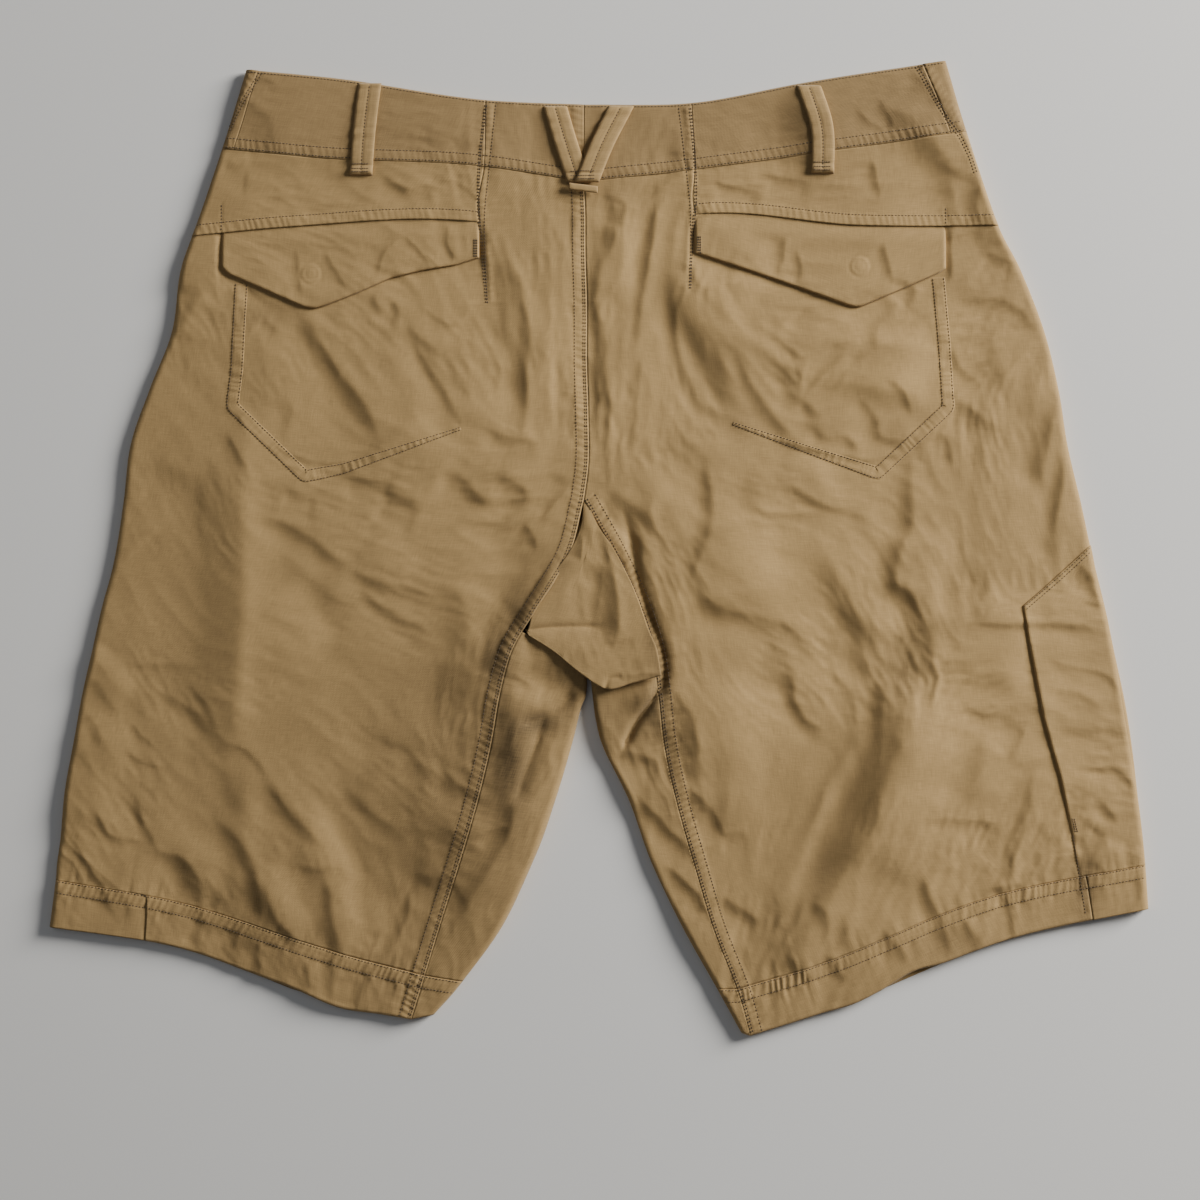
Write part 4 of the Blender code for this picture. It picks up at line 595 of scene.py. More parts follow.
# ---------------------------------------------------------------- seams, millimetres
# A seam runs along a section row (half, name, offset down, first and last column), down a section column
# (half, column, first and last row) or through points. Its side is 1 for the left of that line and -1 for
# the right; the distances of its rows of stitches and of its thick strip count towards that side.
SEAMS = (
    # name, kind, where, side, rows, strip, pucker, gather
    ("waist_edge_left", "row", (0, "waist", 1.5, 0.02, 2.99), 1, (0,), None, 0, 0),
    ("waist_edge_right", "row", (1, "waist", 1.5, 0.02, 2.99), 1, (0,), None, 0, 0),
    ("band_left", "row", (0, "band_seam", 0, 0, 2.99), 1, (1.3, 7.2), (0.2, 8), 0.15, 0.12),
    ("band_right", "row", (1, "band_seam", 0, 2.99, 0), 1, (1.3, 7.2), (0.2, 8), 0.15, 0.12),
    ("yoke_left", "row", (0, "yoke_seam", 0, 0.02, 1.99), 1, (7,), (0.2, 7.6), 0.16, 0),
    ("yoke_right", "row", (1, "yoke_seam", 0, 1.99, 0.02), 1, (7,), (0.2, 7.6), 0.16, 0),
    ("centre_back", "column", (0, 3, "waist", "thigh_1"), -1, (1, 2.4, 8.2), (0.2, 9), 0.2, 0.12),
    ("inner_left", "column", (0, 3, "thigh_1", "hem_edge"), -1, (1, 2.4, 8.2), (0.2, 9), 0.32, 0.3),
    ("inner_right", "column", (1, 3, "rise", "hem_edge"), 1, (1, 2.4, 8.2), (0.2, 9), 0.32, 0.35),
    ("hem_left", "row", (0, "hem_stitch", 0.6, 0, 4), -1, (0, 7.6), (-0.6, 8.2), 0.28, 0.5),
    ("hem_right", "row", (1, "hem_stitch", 0.6, 4, 0), -1, (0, 7.6), (-0.6, 8.2), 0.28, 0.5),
    ("dart_left_outer", "points", ((-75, 293), (-79.8, 247), (-79.8, 226), (-77, 189), (-74.5, 161.5)), 1,
     (0, 1.1), (-0.3, 5.2), 0.16, 0.3),
    ("dart_left_inner", "points", ((-68, 293), (-73, 244), (-75, 226), (-75, 189), (-73.5, 161.5)), -1,
     (0,), None, 0, 0.1),
    ("dart_right_outer", "points", ((60.6, 291), (64, 253.5), (64.5, 230), (62, 204), (60.6, 171)), -1,
     (0, 1.1), (-0.3, 4.6), 0.16, 0.3),
    ("dart_right_inner", "points",
     ((52.6, 291), (56, 263.5), (58, 247), (60, 230), (60.6, 204), (60, 171)), -1, (0,), None, 0, 0.1),
    ("side_left", "points", ((-223, 314), (-237, 290.6), (-245, 275)), -1,
     (-0.9, 0.9), (1.6, 8), 0.2, 0.15),
    ("side_right", "points", ((209.5, 318.5), (230, 283), (239, 270), (245, 258), (248.6, 247.6)), 1,
     (-0.9, 0.9), (1.6, 8), 0.25, 0.15),
    ("yoke_end_left", "points", ((-249, 227), (-249, 207)), 1, (0,), None, 0, 0),
    ("yoke_end_right", "points", ((229, 225), (229, 210)), 1, (0,), None, 0, 0),
    ("cargo_slant", "points", ((325, 3), (307, -14), (279, -38)), 1, (1.2, 3.4), (0, 4.4), 0.1, 0),
    ("cargo_lower", "points", ((313.5, -189), (317.5, -213), (322, -241)), -1, (0.9,), None, 0.1, 0.3),
)
STITCH_GROOVE = 0.22       # depth of the groove that a row of stitches pulls
GROOVE_WIDTH = 0.8
STRIP_RISE = 0.35          # how much a seam's thick strip stands higher
STRIP_SOFTNESS = 0.35
LADDER = 4.4               # spacing of the puckers between two rows
LADDER_SLANT = 0.25        # how far they lean over
GATHER_LENGTH = 6.0        # spacing of the gathers beside a seam
GATHER_REACH = 9.0         # how far they run out into the cloth
TACK_STITCH = (1.6, 1.5)   # pitch and length of the close stitches at bar tacks and loop feet
STITCH_RINGS = ((-0.72, 0.85, 0.05), (0.0, 1.0, 0.22), (0.72, 0.85, 0.05))    # place, width, rise
LOOK_FROM = 0.1            # height in metres from which the cloth under a stitch is looked for


# ---------------------------------------------------------------- curves and plan
def unit(vectors):
    """The vectors, each brought to length 1."""
    return vectors / np.linalg.norm(vectors, axis=-1, keepdims=True)


def hermite(t, start, end, start_slope, end_slope):
    """Cubic Hermite curve at the share t of a span, from its end points and its slopes times the span."""
    return ((2 * t**3 - 3 * t**2 + 1) * start + (t**3 - 2 * t**2 + t) * start_slope
            + (3 * t**2 - 2 * t**3) * end + (t**3 - t**2) * end_slope)


def smooth(at, knots, values):
    """Points at the parameters at: cubic Hermite curve through values at the rising knots."""
    slopes = np.gradient(values, knots, axis=0)
    cell = np.clip(np.searchsorted(knots, at, side="right") - 1, 0, len(knots) - 2)
    span = (knots[1:] - knots[:-1])[cell]
    shape = np.shape(at) + (1,) * (values.ndim - 1)
    t = ((at - knots[cell]) / span).reshape(shape)
    span = span.reshape(shape)
    return hermite(t, values[cell], values[cell + 1], span * slopes[cell], span * slopes[cell + 1])


def lengths_along(points):
    """Length of a line of points up to each point."""
    steps = np.linalg.norm(np.diff(points, axis=0), axis=-1)
    return np.concatenate((np.zeros((1,) + steps.shape[1:]), np.cumsum(steps, axis=0)))


def straight(at, knots, points):
    """Plan points at the parameters at: straight lines through points at the rising knots."""
    return np.column_stack([np.interp(at, knots, points[:, k]) for k in (0, 1)])


def curve(shares, points):
    """Points at shares, 0 to 1, of the length of a smooth curve through the given points."""
    points = np.array(points, float)
    knots = lengths_along(points)
    return smooth(np.asarray(shares) * knots[-1], knots, points)


def bent(points, step=2.0, corner=1.5):
    """Points every step along straight lines between the given points, their corners rounded a little."""
    points = np.array(points, float)
    knots = lengths_along(points)
    at = np.linspace(0, knots[-1], int(np.ceil(knots[-1] / step)) + 1)
    before, here, after = (straight(np.clip(at + shift, 0, knots[-1]), knots, points)
                           for shift in (-corner, 0, corner))
    return (here * 2 + before + after) / 4


def ease(t):
    """Smooth step from 0 to 1."""
    t = np.clip(t, 0, 1)
    return t * t * (3 - 2 * t)


def quarter_round(distance, radius):
    """How far a quarter circle has dropped at a distance from its end: 1 at the end, 0 from the radius on."""
    return 1 - np.sqrt(1 - (1 - np.clip(distance / radius, 0, 1))**2)


class Half:
    """One half of the garment in plan: a point for each section row and column, both as real numbers."""

    def __init__(self, sections):
        self.table = np.array([section[1:] for section in sections], float)
        self.knots = lengths_along(self.table[:, :SEAM + 1]).mean(axis=1)
        self.numbers = np.arange(len(self.knots))

    def row(self, name, millimetres=0.0):
        """Section number of a named row, moved towards the hem by some millimetres."""
        return float(np.interp(self.knots[ROW[name]] + millimetres, self.knots, self.numbers))

    def rows_between(self, first, last, cell, multiple=COARSE):
        """Section numbers from first to last, spaced by about one cell, in a whole number of coarse cells."""
        start, end = np.interp((first, last), self.numbers, self.knots)
        count = multiple * max(1, round((end - start) / cell / multiple))
        return np.interp(np.linspace(start, end, count + 1), self.knots, self.numbers)

    def plan(self, rows, columns):
        """Plan points, shape (rows, columns, 2): cubic curves down the columns, then across each row."""
        rows, columns = np.asarray(rows, float), np.asarray(columns, float)
        lengths = np.interp(rows, self.numbers, self.knots)
        lines = smooth(lengths, self.knots, self.table)
        fork = ROW["rise"]
        above = smooth(lengths, self.knots[:fork + 1], self.table[:fork + 1, SEAM:])
        below = smooth(lengths, self.knots[fork:], self.table[fork:, SEAM:])
        lines[:, SEAM:] = np.where((lengths <= self.knots[fork])[:, None, None], above, below)
        across = lines[:, :SEAM + 1]
        gaps = np.diff(lengths_along(across.swapaxes(0, 1)).T, axis=1)[..., None]
        rises = np.diff(across, axis=1) / gaps
        slopes = np.empty_like(across)
        slopes[:, 0], slopes[:, -1] = rises[:, 0], rises[:, -1]
        slopes[:, 1:-1] = gaps[:, 1:] * rises[:, :-1] + gaps[:, :-1] * rises[:, 1:]
        slopes[:, 1:-1] /= gaps[:, 1:] + gaps[:, :-1]
        cut = np.clip(columns, EDGE, SEAM)
        cell = np.clip(cut.astype(int), 0, SEAM - 1)
        t = (cut - cell)[None, :, None]
        span = gaps[:, cell]
        grid = hermite(t, across[:, cell], across[:, cell + 1],
                       span * slopes[:, cell], span * slopes[:, cell + 1])
        beyond = np.clip(columns - SEAM, 0, 1)[None, :, None]
        return grid + beyond * (lines[:, INSEAM] - lines[:, SEAM])[:, None]


LEFT = Half(LEFT_SECTIONS)
RIGHT = Half(RIGHT_SECTIONS)
SIDES = (("left", LEFT), ("right", RIGHT))


def along(line, x, y):
    """Signed distance from a line of points, left of it positive, and the run along it, for plan points."""
    best = np.full(x.shape, np.inf)
    across, run = np.zeros(x.shape), np.zeros(x.shape)
    starts = lengths_along(line)
    last = len(line) - 2
    for number in range(last + 1):
        (ax, ay), (bx, by) = line[number], line[number + 1]
        length = starts[number + 1] - starts[number]
        tx, ty = (bx - ax) / length, (by - ay) / length
        s = (x - ax) * tx + (y - ay) * ty
        n = (y - ay) * tx - (x - ax) * ty
        inside = np.clip(s, -np.inf if number == 0 else 0, np.inf if number == last else length)
        far = np.hypot(s - inside, n)
        over = np.maximum(np.maximum(-s, s - length), 0)
        nearer = np.hypot(over, n) < best
        best = np.where(nearer, np.hypot(over, n), best)
        across = np.where(nearer, np.copysign(far, n), across)
        run = np.where(nearer, starts[number] + inside, run)
    return across, run


def box_round(line, x, y, reach):
    """Mask of the plan points within a reach of the box round a line."""
    low, high = np.min(line, axis=0) - reach, np.max(line, axis=0) + reach
    return (x > low[0]) & (x < high[0]) & (y > low[1]) & (y < high[1])


def along_curve(points, x, y):
    """What along() gives for the smooth curve through points, and the share of its length run."""
    line = curve(np.linspace(0, 1, 6 * len(points)), points)
    across, run = along(line, x, y)
    return across, run, run / lengths_along(line)[-1]


# ---------------------------------------------------------------- irregular lines and surfaces
def wander(at, spacing, seed):
    """Smooth random value between -1 and 1 along a length: eased steps between random ones."""
    values = np.random.default_rng(seed).uniform(-1, 1, 257)
    t = np.asarray(at) / spacing
    cell = np.floor(t).astype(int)
    share = ease(t - cell)
    return values[cell % 257] * (1 - share) + values[(cell + 1) % 257] * share


def noise(x, y, size, seed):
    """Gradient noise between about -1 and 1: random slopes on a square lattice, eased together."""
    angle = np.random.default_rng(seed).uniform(0, 2 * np.pi, (64, 64))
    cx, cy = np.floor(x / size).astype(int), np.floor(y / size).astype(int)
    fx, fy = x / size - cx, y / size - cy
    sx, sy = ease(fx), ease(fy)
    total = 0
    for dx, wx in ((0, 1 - sx), (1, sx)):
        for dy, wy in ((0, 1 - sy), (1, sy)):
            turn = angle[(cx + dx) % 64, (cy + dy) % 64]
            total = total + wx * wy * (np.cos(turn) * (fx - dx) + np.sin(turn) * (fy - dy))
    return 1.6 * total


def bells(x, y, table):
    """Sum of bell curves over a table of middles, half widths and heights."""
    return sum(rise * np.exp(-((x - middle_x) / half_width)**2 - ((y - middle_y) / half_length)**2)
               for middle_x, middle_y, half_width, half_length, rise in table)


# ---------------------------------------------------------------- height of the cloth
def troughs(x, y, table):
    """Sum of troughs: -depth * exp(-(distance / half width)**1.5), shallower towards both ends."""
    total = np.zeros(x.shape)
    for points, depth, width in table:
        across, _, share = along_curve(points, x, y)
        strength = ease((1 - np.abs(2 * share - 1) / 1.3) / 0.4)
        total -= depth * np.exp(-(np.abs(across) / width)**1.5) * strength
    return total


def fold_field(x, y, table):
    """Sum of the folds: slope * width * (tanh(distance / width) + lift) * exp(-(distance / reach)**2) across
    each line, the distance counted towards the light and the width smaller on its crisp side; the lift keeps
    a broad fold above the cloth around it. Each fold runs out at both ends and is uneven along its length."""
    total = np.zeros(x.shape)
    for number, (points, drop, width, *skew) in enumerate(table):
        skew = skew[0] if skew else FOLD_SKEW
        slope = STEEPEST * np.tanh(drop / (2 * width * STEEPEST))
        reach = min(FOLD_REACH * width + FOLD_LEAST_REACH, FOLD_MOST_REACH)
        box = box_round(points, x, y, 2.2 * reach)
        if not box.any():
            continue
        across, run, share = along_curve(points, x[box], y[box])
        (start_x, start_y), (end_x, end_y) = points[0], points[-1]
        if (end_x - start_x) * LIGHT_FROM[1] < (end_y - start_y) * LIGHT_FROM[0]:
            across = -across
        strength = ease((1 - np.abs(2 * share - 1) / (1 + 2 * FOLD_RUN_OUT)) / FOLD_FADE)
        across = across + 0.25 * min(width, 9) * wander(run, 3 * width, number + 300)
        slim = width * (FOLD_POINT + (1 - FOLD_POINT) * strength) * (1 - skew * np.tanh(across / width))
        strength = strength * (1 + min(0.2, 1.2 / width) * wander(run, 19, number + 400))
        lift = FOLD_LIFT * ease(width / FOLD_BROAD)
        profile = slope * np.tanh(across / slim) + abs(slope) * lift
        total[box] += slim * profile * np.exp(-(across / reach)**2) * strength
    return total


def undulation(x, y):
    """Slow unevenness of the laid cloth: two crossed waves, and a shorter one half as high."""
    a, b, c, d = LONG_WAVES
    e, f = SHORT_WAVES
    return UNEVENNESS * (np.sin(x / a + y / b) * np.sin(y / c - x / d) + 0.5 * np.sin(x / e - y / f))


def pull(x, y):
    """Direction of the wrinkles at each point: the table's directions, blended by nearness."""
    level, slant = np.zeros(x.shape), np.zeros(x.shape)
    for middle_x, middle_y, degrees in PULLS:
        weight = np.exp(-((x - middle_x)**2 + (y - middle_y)**2) / PULL_REACH**2) + 1e-9
        level += weight * np.cos(np.radians(2 * degrees))
        slant += weight * np.sin(np.radians(2 * degrees))
    angle = np.arctan2(slant, level) / 2
    return np.cos(angle), np.sin(angle)


def drawn_out(x, y, way, size, stretch, seed):
    """Gradient noise averaged along the way of the pull, so that it runs out into streaks; about -1 to 1."""
    total = 0
    for step in np.linspace(-1, 1, 7):
        total = total + noise(x + step * stretch * way[0], y + step * stretch * way[1], size, seed)
    return total / 3.2


def crumple(x, y, amount):
    """Wrinkles along the pull of the cloth: rounded troughs between narrow crests, at two sizes, stronger in
    the crumpled places and nearly gone in the calm ones."""
    way = pull(x, y)
    calm = 0.25 + 0.75 * ease(0.5 + 1.3 * noise(x, y, 57, 9))
    broad, large, small, fine = (drawn_out(x, y, way, *streak) for streak in STREAKS)
    crests = 1.1 * np.sqrt(large**2 + 0.008) + 0.8 * calm * np.sqrt(small**2 + 0.004)
    return amount * (1 + bells(x, y, CRUMPLED)) * (0.5 - crests + 0.26 * calm * fine + 1.1 * broad)


def height(x, y, calm=1.0):
    """Top of the upper layer away from its edges; calm scales what the folds add."""
    settings = bpy.context.scene.shorts_sizes
    loft = LOFT * np.exp(-((np.abs(x) - LOFT_MIDDLE) / LOFT_REACH[0])**2 - (y / LOFT_REACH[1])**2)
    folds = fold_field(x, y, FOLDS) + troughs(x, y, TROUGHS) + bells(x, y, SWELLS)
    creases = undulation(x, y) + settings.folds * folds + crumple(x, y, settings.crumple / MM)
    above = REST_HEIGHT + (loft + calm * creases) - LOWEST_TOP
    return LOWEST_TOP + PRESS_SOFTNESS * np.logaddexp(0, above / PRESS_SOFTNESS)


def rolled(top, distance):
    """The height top brought down to the outline over the width of the roll, as a quarter of an ellipse."""
    return top - (top - EDGE_TOP) * quarter_round(distance, ROLL)


def flap_bottom(edge, x):
    """Height in plan of a flap's lower edge at x."""
    line = bent(edge)
    return np.interp(x, line[:, 0], line[:, 1])


def recess(x, y):
    """How far the panel lies lower under the two flaps."""
    depth = 0
    for edge in (LEFT_FLAP_EDGE, RIGHT_FLAP_EDGE):
        first, last = edge[0][0], edge[-1][0]
        below = flap_bottom(edge, np.clip(x, first, last)) - y
        outside = np.maximum(np.maximum(first - x, x - last), 0)
        depth = depth + FLAP_RECESS * ease(1 - np.hypot(np.maximum(below, 0), 3 * outside) / RECESS_FADE)
    return depth * ease((RECESS_TOP - y) / RECESS_FADE)


def seam_line(kind, where):
    """The points of a seam: along a section row or column, or through points of its own."""
    if kind == "row":
        side, name, down, first, last = where
        half = SIDES[side][1]
        return half.plan([half.row(name, down)], np.linspace(first, last, 120))[0]
    if kind == "column":
        side, column, first, last = where
        half = SIDES[side][1]
        return half.plan(half.rows_between(half.row(first), half.row(last), 3.0, 1), [column])[:, 0]
    return curve(np.linspace(0, 1, 60), where)


def seam_relief(x, y):
    """What the seams add to the cloth, and a mask of the puckers' crests from -1 to 1.

    Across a seam: a groove under each row of stitches and a raised strip. Along it: puckers between the
    rows, a cosine whose phase and strength wander, and gathers beside it that fade into the cloth."""
    settings = bpy.context.scene.shorts_sizes
    total, crest = np.zeros(x.shape), np.zeros(x.shape)
    for number, (_, kind, where, side, rows, strip, pucker, gather) in enumerate(SEAMS):
        line = seam_line(kind, where)
        box = box_round(line, x, y, 3.2 * GATHER_REACH if gather else 12)
        if not box.any():
            continue
        across, run = along(line, x[box], y[box])
        across = across * side
        within = ease(1 + np.minimum(run, lengths_along(line)[-1] - run) / 1.5)
        add = np.zeros(across.shape)
        for row in rows:
            add -= STITCH_GROOVE * np.exp(-((across - row) / GROOVE_WIDTH)**2)
        low, high = strip or (min(rows) - 1, max(rows) + 1)
        inside = 1 / (1 + np.exp((low - across) / STRIP_SOFTNESS))
        inside = inside / (1 + np.exp((across - high) / STRIP_SOFTNESS))
        phase = run / LADDER + 0.5 * wander(run, 11, number) + LADDER_SLANT * across / LADDER
        wave = np.cos(2 * np.pi * phase) * (0.85 + 0.3 * wander(run, 14, number + 50))
        if strip:
            add += inside * (STRIP_RISE + pucker * settings.pucker * wave)
            crest[box] += inside * within * wave * pucker / 0.3
        if gather:
            beyond = np.maximum(np.maximum(across - high, low - across), 0)
            pulls = wander(run + 0.25 * across, GATHER_LENGTH, number + 100)
            pulls = pulls + 0.6 * wander(run, 2.6, number + 150)
            add += gather * settings.pucker * pulls * np.exp(-beyond / GATHER_REACH) * (1 - inside)
        total[box] += add * within
    return total, np.clip(crest, -1, 1)


def lifted(grid, calm=1.0, raised=0.0, outline=None, inner=None, under_flap=False):
    """A plan grid with the height of the upper layer, and its pucker mask; its edges roll down to outline."""
    x, y = grid[..., 0], grid[..., 1]
    z = height(x, y, calm) + raised
    if under_flap:
        z = z - recess(x, y)
    add, crest = seam_relief(x, y)
    z = z + add
    for edge in (outline, inner):
        if edge is not None:
            z = rolled(z, np.linalg.norm(grid - edge, axis=-1))
    return np.dstack((x, y, z)), crest


# ---------------------------------------------------------------- meshes
def mesh_object(name, points, faces, uv=None, crest=None):
    """An object from points in millimetres and lists of faces of equal size, with a UV map and two masks: the
    puckers' crests and the painted light and shade.
    """
    mesh = bpy.data.meshes.new(name)
    corners = np.concatenate([part.ravel() for part in faces])
    sizes = np.concatenate([np.full(len(part), part.shape[1]) for part in faces])
    mesh.vertices.add(len(points))
    mesh.vertices.foreach_set("co", (points * MM).astype(np.float32).ravel())
    mesh.loops.add(len(corners))
    mesh.loops.foreach_set("vertex_index", corners.astype(np.int32))
    mesh.polygons.add(len(sizes))
    mesh.polygons.foreach_set("loop_start", (np.cumsum(sizes) - sizes).astype(np.int32))
    mesh.update(calc_edges=True)
    mesh.validate()
    if uv is not None:
        layer = mesh.uv_layers.new(name="weave")
        layer.data.foreach_set("uv", (uv[corners] * MM).astype(np.float32).ravel())
    if crest is not None:
        # painted light and shade from its table, kept as a mask for the canvas colour
        painted_light_mask = bells(points[:, 0], points[:, 1], PAINTED_LIGHT_AND_SHADE)
        for title, mask in (("crest", crest), ("painted_light_shade", painted_light_mask)):
            attribute = mesh.attributes.new(title, "FLOAT", "POINT")
            attribute.data.foreach_set("value", mask.astype(np.float32))
    mesh.shade_smooth()
    item = bpy.data.objects.new(name, mesh)
    PIECES.objects.link(item)
    return item


def cloth_uv(points, turn=0.0):
    """Weave coordinates of a grid: lengths along its columns and rows from its middle, turned a little."""
    across = lengths_along(points.swapaxes(0, 1)).T
    down = lengths_along(points)
    middle = across.shape[1] // 2
    across = across - across[:, middle:middle + 1]
    down = down - down[len(down) // 2]
    return np.dstack((across * np.cos(turn) - down * np.sin(turn),
                      across * np.sin(turn) + down * np.cos(turn)))


def flat_size(points, cut):
    """Width, length and area of a piece laid flat, from its rows, columns and cells, in metres."""
    across, down = (np.linalg.norm(np.diff(points, axis=axis), axis=-1).sum(axis=axis) for axis in (1, 0))
    one = np.cross(points[:-1, 1:] - points[:-1, :-1], points[1:, :-1] - points[:-1, :-1])
    two = np.cross(points[1:, :-1] - points[1:, 1:], points[:-1, 1:] - points[1:, 1:])
    cells = (np.linalg.norm(one, axis=-1) + np.linalg.norm(two, axis=-1)) / 2
    if cut is not None:
        cells = cells * ~cut
    width, length = (max(NARROWEST_CUT, lengths.max()) * MM for lengths in (across, down))
    return width, length, min(cells.sum() * MM * MM, width * length)


def shell(name, points, wall, crest=None, cut=None, coarse=COARSE, upwards=True, turn=0.0):
    """A closed piece of cloth: the grid as its shown side, and every coarse-th point, moved in by the wall,
    as its hidden side. Each edge of the shown side's border is joined to the nearest hidden points."""
    crest = np.zeros(points.shape[:2]) if crest is None else crest
    size = flat_size(points, cut)
    normal = np.cross(np.gradient(points, axis=1), np.gradient(points, axis=0))
    lean = normal / np.maximum(np.linalg.norm(normal, axis=-1, keepdims=True), 1e-9)
    if (np.nansum(normal[..., 2]) > 0) != upwards:
        points, crest, lean = points[:, ::-1], crest[:, ::-1], -lean[:, ::-1]
        cut = cut[:, ::-1] if cut is not None else None
    rows, columns = points.shape[:2]
    total = rows * columns
    number = np.arange(total).reshape(rows, columns)
    keep = np.ones((rows - 1, columns - 1), bool) if cut is None else ~cut
    a, b, c, d = number[:-1, :-1], number[:-1, 1:], number[1:, 1:], number[1:, :-1]
    shown = np.stack((a, b, c, d), axis=-1)[keep]
    hidden_points = points[::coarse, ::coarse] - wall * lean[::coarse, ::coarse]
    hidden = total + np.arange(hidden_points.shape[0] * hidden_points.shape[1])
    hidden = hidden.reshape(hidden_points.shape[:2])
    a, b, c, d = hidden[:-1, :-1], hidden[1:, :-1], hidden[1:, 1:], hidden[:-1, 1:]
    below = np.stack((a, b, c, d), axis=-1)[keep[::coarse, ::coarse]]
    starts, ends = shown.ravel(), np.roll(shown, -1, axis=1).ravel()
    border = ~np.isin(starts * total + ends, ends * total + starts)
    starts, ends = starts[border], ends[border]

    def near(index):
        row, column = index // columns, index % columns
        return hidden[(row / coarse + 0.5).astype(int), (column / coarse + 0.5).astype(int)]

    near_start, near_end = near(starts), near(ends)
    rim = np.column_stack((ends, starts, near_start))
    step = near_start != near_end
    rim_step = np.column_stack((ends[step], near_start[step], near_end[step]))
    uv = cloth_uv(points, turn)
    every = np.concatenate((points.reshape(-1, 3), hidden_points.reshape(-1, 3)))
    every_uv = np.concatenate((uv.reshape(-1, 2), uv[::coarse, ::coarse].reshape(-1, 2)))
    mask = np.concatenate((crest.ravel(), crest[::coarse, ::coarse].ravel()))
    faces = [shown, below, rim, rim_step]
    used = np.unique(np.concatenate([part.ravel() for part in faces]))
    back = np.full(len(every), -1)
    back[used] = np.arange(len(used))
    item = mesh_object(name, every[used], [back[part] for part in faces], every_uv[used], mask[used])
    return item, size


def rolled_under(edge, inwards, bottom, angle):
    """A quarter of an ellipse from the rolled edge back in below, to a height: a column for each angle."""
    plan = edge + inwards * (TURN_IN * (1 - np.cos(angle)))[None, :, None]
    z = EDGE_TOP - (EDGE_TOP - bottom) * np.sin(angle)
    return np.dstack((plan, np.broadcast_to(z, plan.shape[:2])))


def turn_under(points, crest, last=False):
    """The grid with its first or last edge turned back in under the garment."""
    if last:
        points, crest = points[:, ::-1], crest[:, ::-1]
    inwards = unit(points[:, 3:4, :2] - points[:, :1, :2])
    angle = np.linspace(np.pi / 2, 0, COARSE + 1)[:-1]
    added = rolled_under(points[:, :1, :2], inwards, TURN_LOW, angle)
    points = np.concatenate((added, points), axis=1)
    crest = np.pad(crest, ((0, 0), (COARSE, 0)))
    if last:
        points, crest = points[:, ::-1], crest[:, ::-1]
    return points, crest


def columns_between(first, last, width, cell, multiple=COARSE):
    """Column numbers from first to last for a piece of that width, closer together near an outline edge."""
    count = multiple * max(1, round(width / cell / multiple))
    t = np.linspace(0, 1, count + 1)
    share = 0.55 * ROLL / width
    if first == EDGE:
        t = t - 0.65 * share * (1 - np.exp(-t / share))
        t = t / t[-1]
    if last == INSEAM:
        t = 1 - (1 - t - 0.65 * share * (1 - np.exp(-(1 - t) / share)))
        t = (t - t[0]) / (1 - t[0])
    return first + (last - first) * t


def piece(name, nodes, rests_on, points, wall, crest=None, kind="upper", **form):
    """A piece of cloth with its material and body, and the solids it replaces; what it rests on is not used.
    """
    item, size = shell(name, points, wall, crest, **form)
    item.data.materials.append(canvas(kind))
    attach(item, "root")
    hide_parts(*nodes)


# ---------------------------------------------------------------- the pieces
def back_panels(sizes):
    """Back panels: the shared height over the section grid; the upper outer part is left to the yoke."""
    cell = sizes.cell / MM
    for side, half in SIDES:
        upper = half.rows_between(half.row("band_seam"), half.row("yoke_seam"), cell)
        lower = half.rows_between(half.row("yoke_seam"), half.row("hem_stitch"), cell)
        rows = np.concatenate((upper[:-1], lower))
        outer = columns_between(EDGE, DART, PANEL_WIDTHS[0], cell)
        columns = np.append(outer, columns_between(DART, SEAM, PANEL_WIDTHS[1], cell)[1:])
        edge = half.plan(rows, (EDGE,))
        points, crest = turn_under(*lifted(half.plan(rows, columns), outline=edge, under_flap=True))
        cut = np.zeros((points.shape[0] - 1, points.shape[1] - 1), bool)
        cut[:len(upper) - 1, :COARSE + len(outer) - 1] = True
        piece(f"panel_back_{side}", [f"back_panel_{side}"], [f"front_panel_{side}"], points,
              sizes.cloth / MM, crest, cut=cut, turn=0.04)


def yokes(sizes):
    """Yokes between waistband and flaps: the shared height, raised along their doubled lower edge."""
    cell = YOKE_CELL * sizes.cell / MM
    for side, half in SIDES:
        rows = half.rows_between(half.row("band_seam"), half.row("yoke_seam"), cell)
        columns = columns_between(EDGE, DART, YOKE_WIDTH, cell)
        grid = half.plan(rows, columns)
        points, crest = lifted(grid, outline=half.plan(rows, (EDGE,)))
        run = lengths_along(grid)
        raised = np.exp(-(run[-1] - run) / YOKE_EDGE_REACH) * ease((DART - columns) / 0.12)
        points[..., 2] += YOKE_EDGE_RISE * raised
        points, crest = turn_under(points, crest)
        piece(f"yoke_back_{side}", [f"yoke_{side}"], [f"front_panel_{side}"], points, sizes.cloth / MM, crest,
              turn=0.05)


def waistband(sizes):
    """Waistband: four back pieces with the shared height, and two front pieces that turn round the sides."""
    cell = SMALL_CELL * sizes.cell / MM
    for (side, half), join in zip(SIDES, BAND_JOINS):
        rows = half.rows_between(half.row("waist"), half.row("band_seam"), cell)
        front = f"waistband_front_{side}"
        for (part, width), first, last in zip(BAND_WIDTHS, (join, DART), (DART, SEAM)):
            grid = half.plan(rows, columns_between(first, last, width, cell))
            points, crest = lifted(grid, BAND_CALM, TOP_RISE)
            round_edge(points, 0)
            piece(f"band_{part}_{side}", [f"waistband_back_{part}_{side}"], [front], points,
                  sizes.doubled / MM, crest, "band")
        columns = join * np.append(np.linspace(0, 1, 13)[1:-1]**1.6, 1)
        turned(f"band_front_{side}", front, side, half, rows, columns, SEAM, 1.3, BAND_CALM, TOP_RISE, "band")


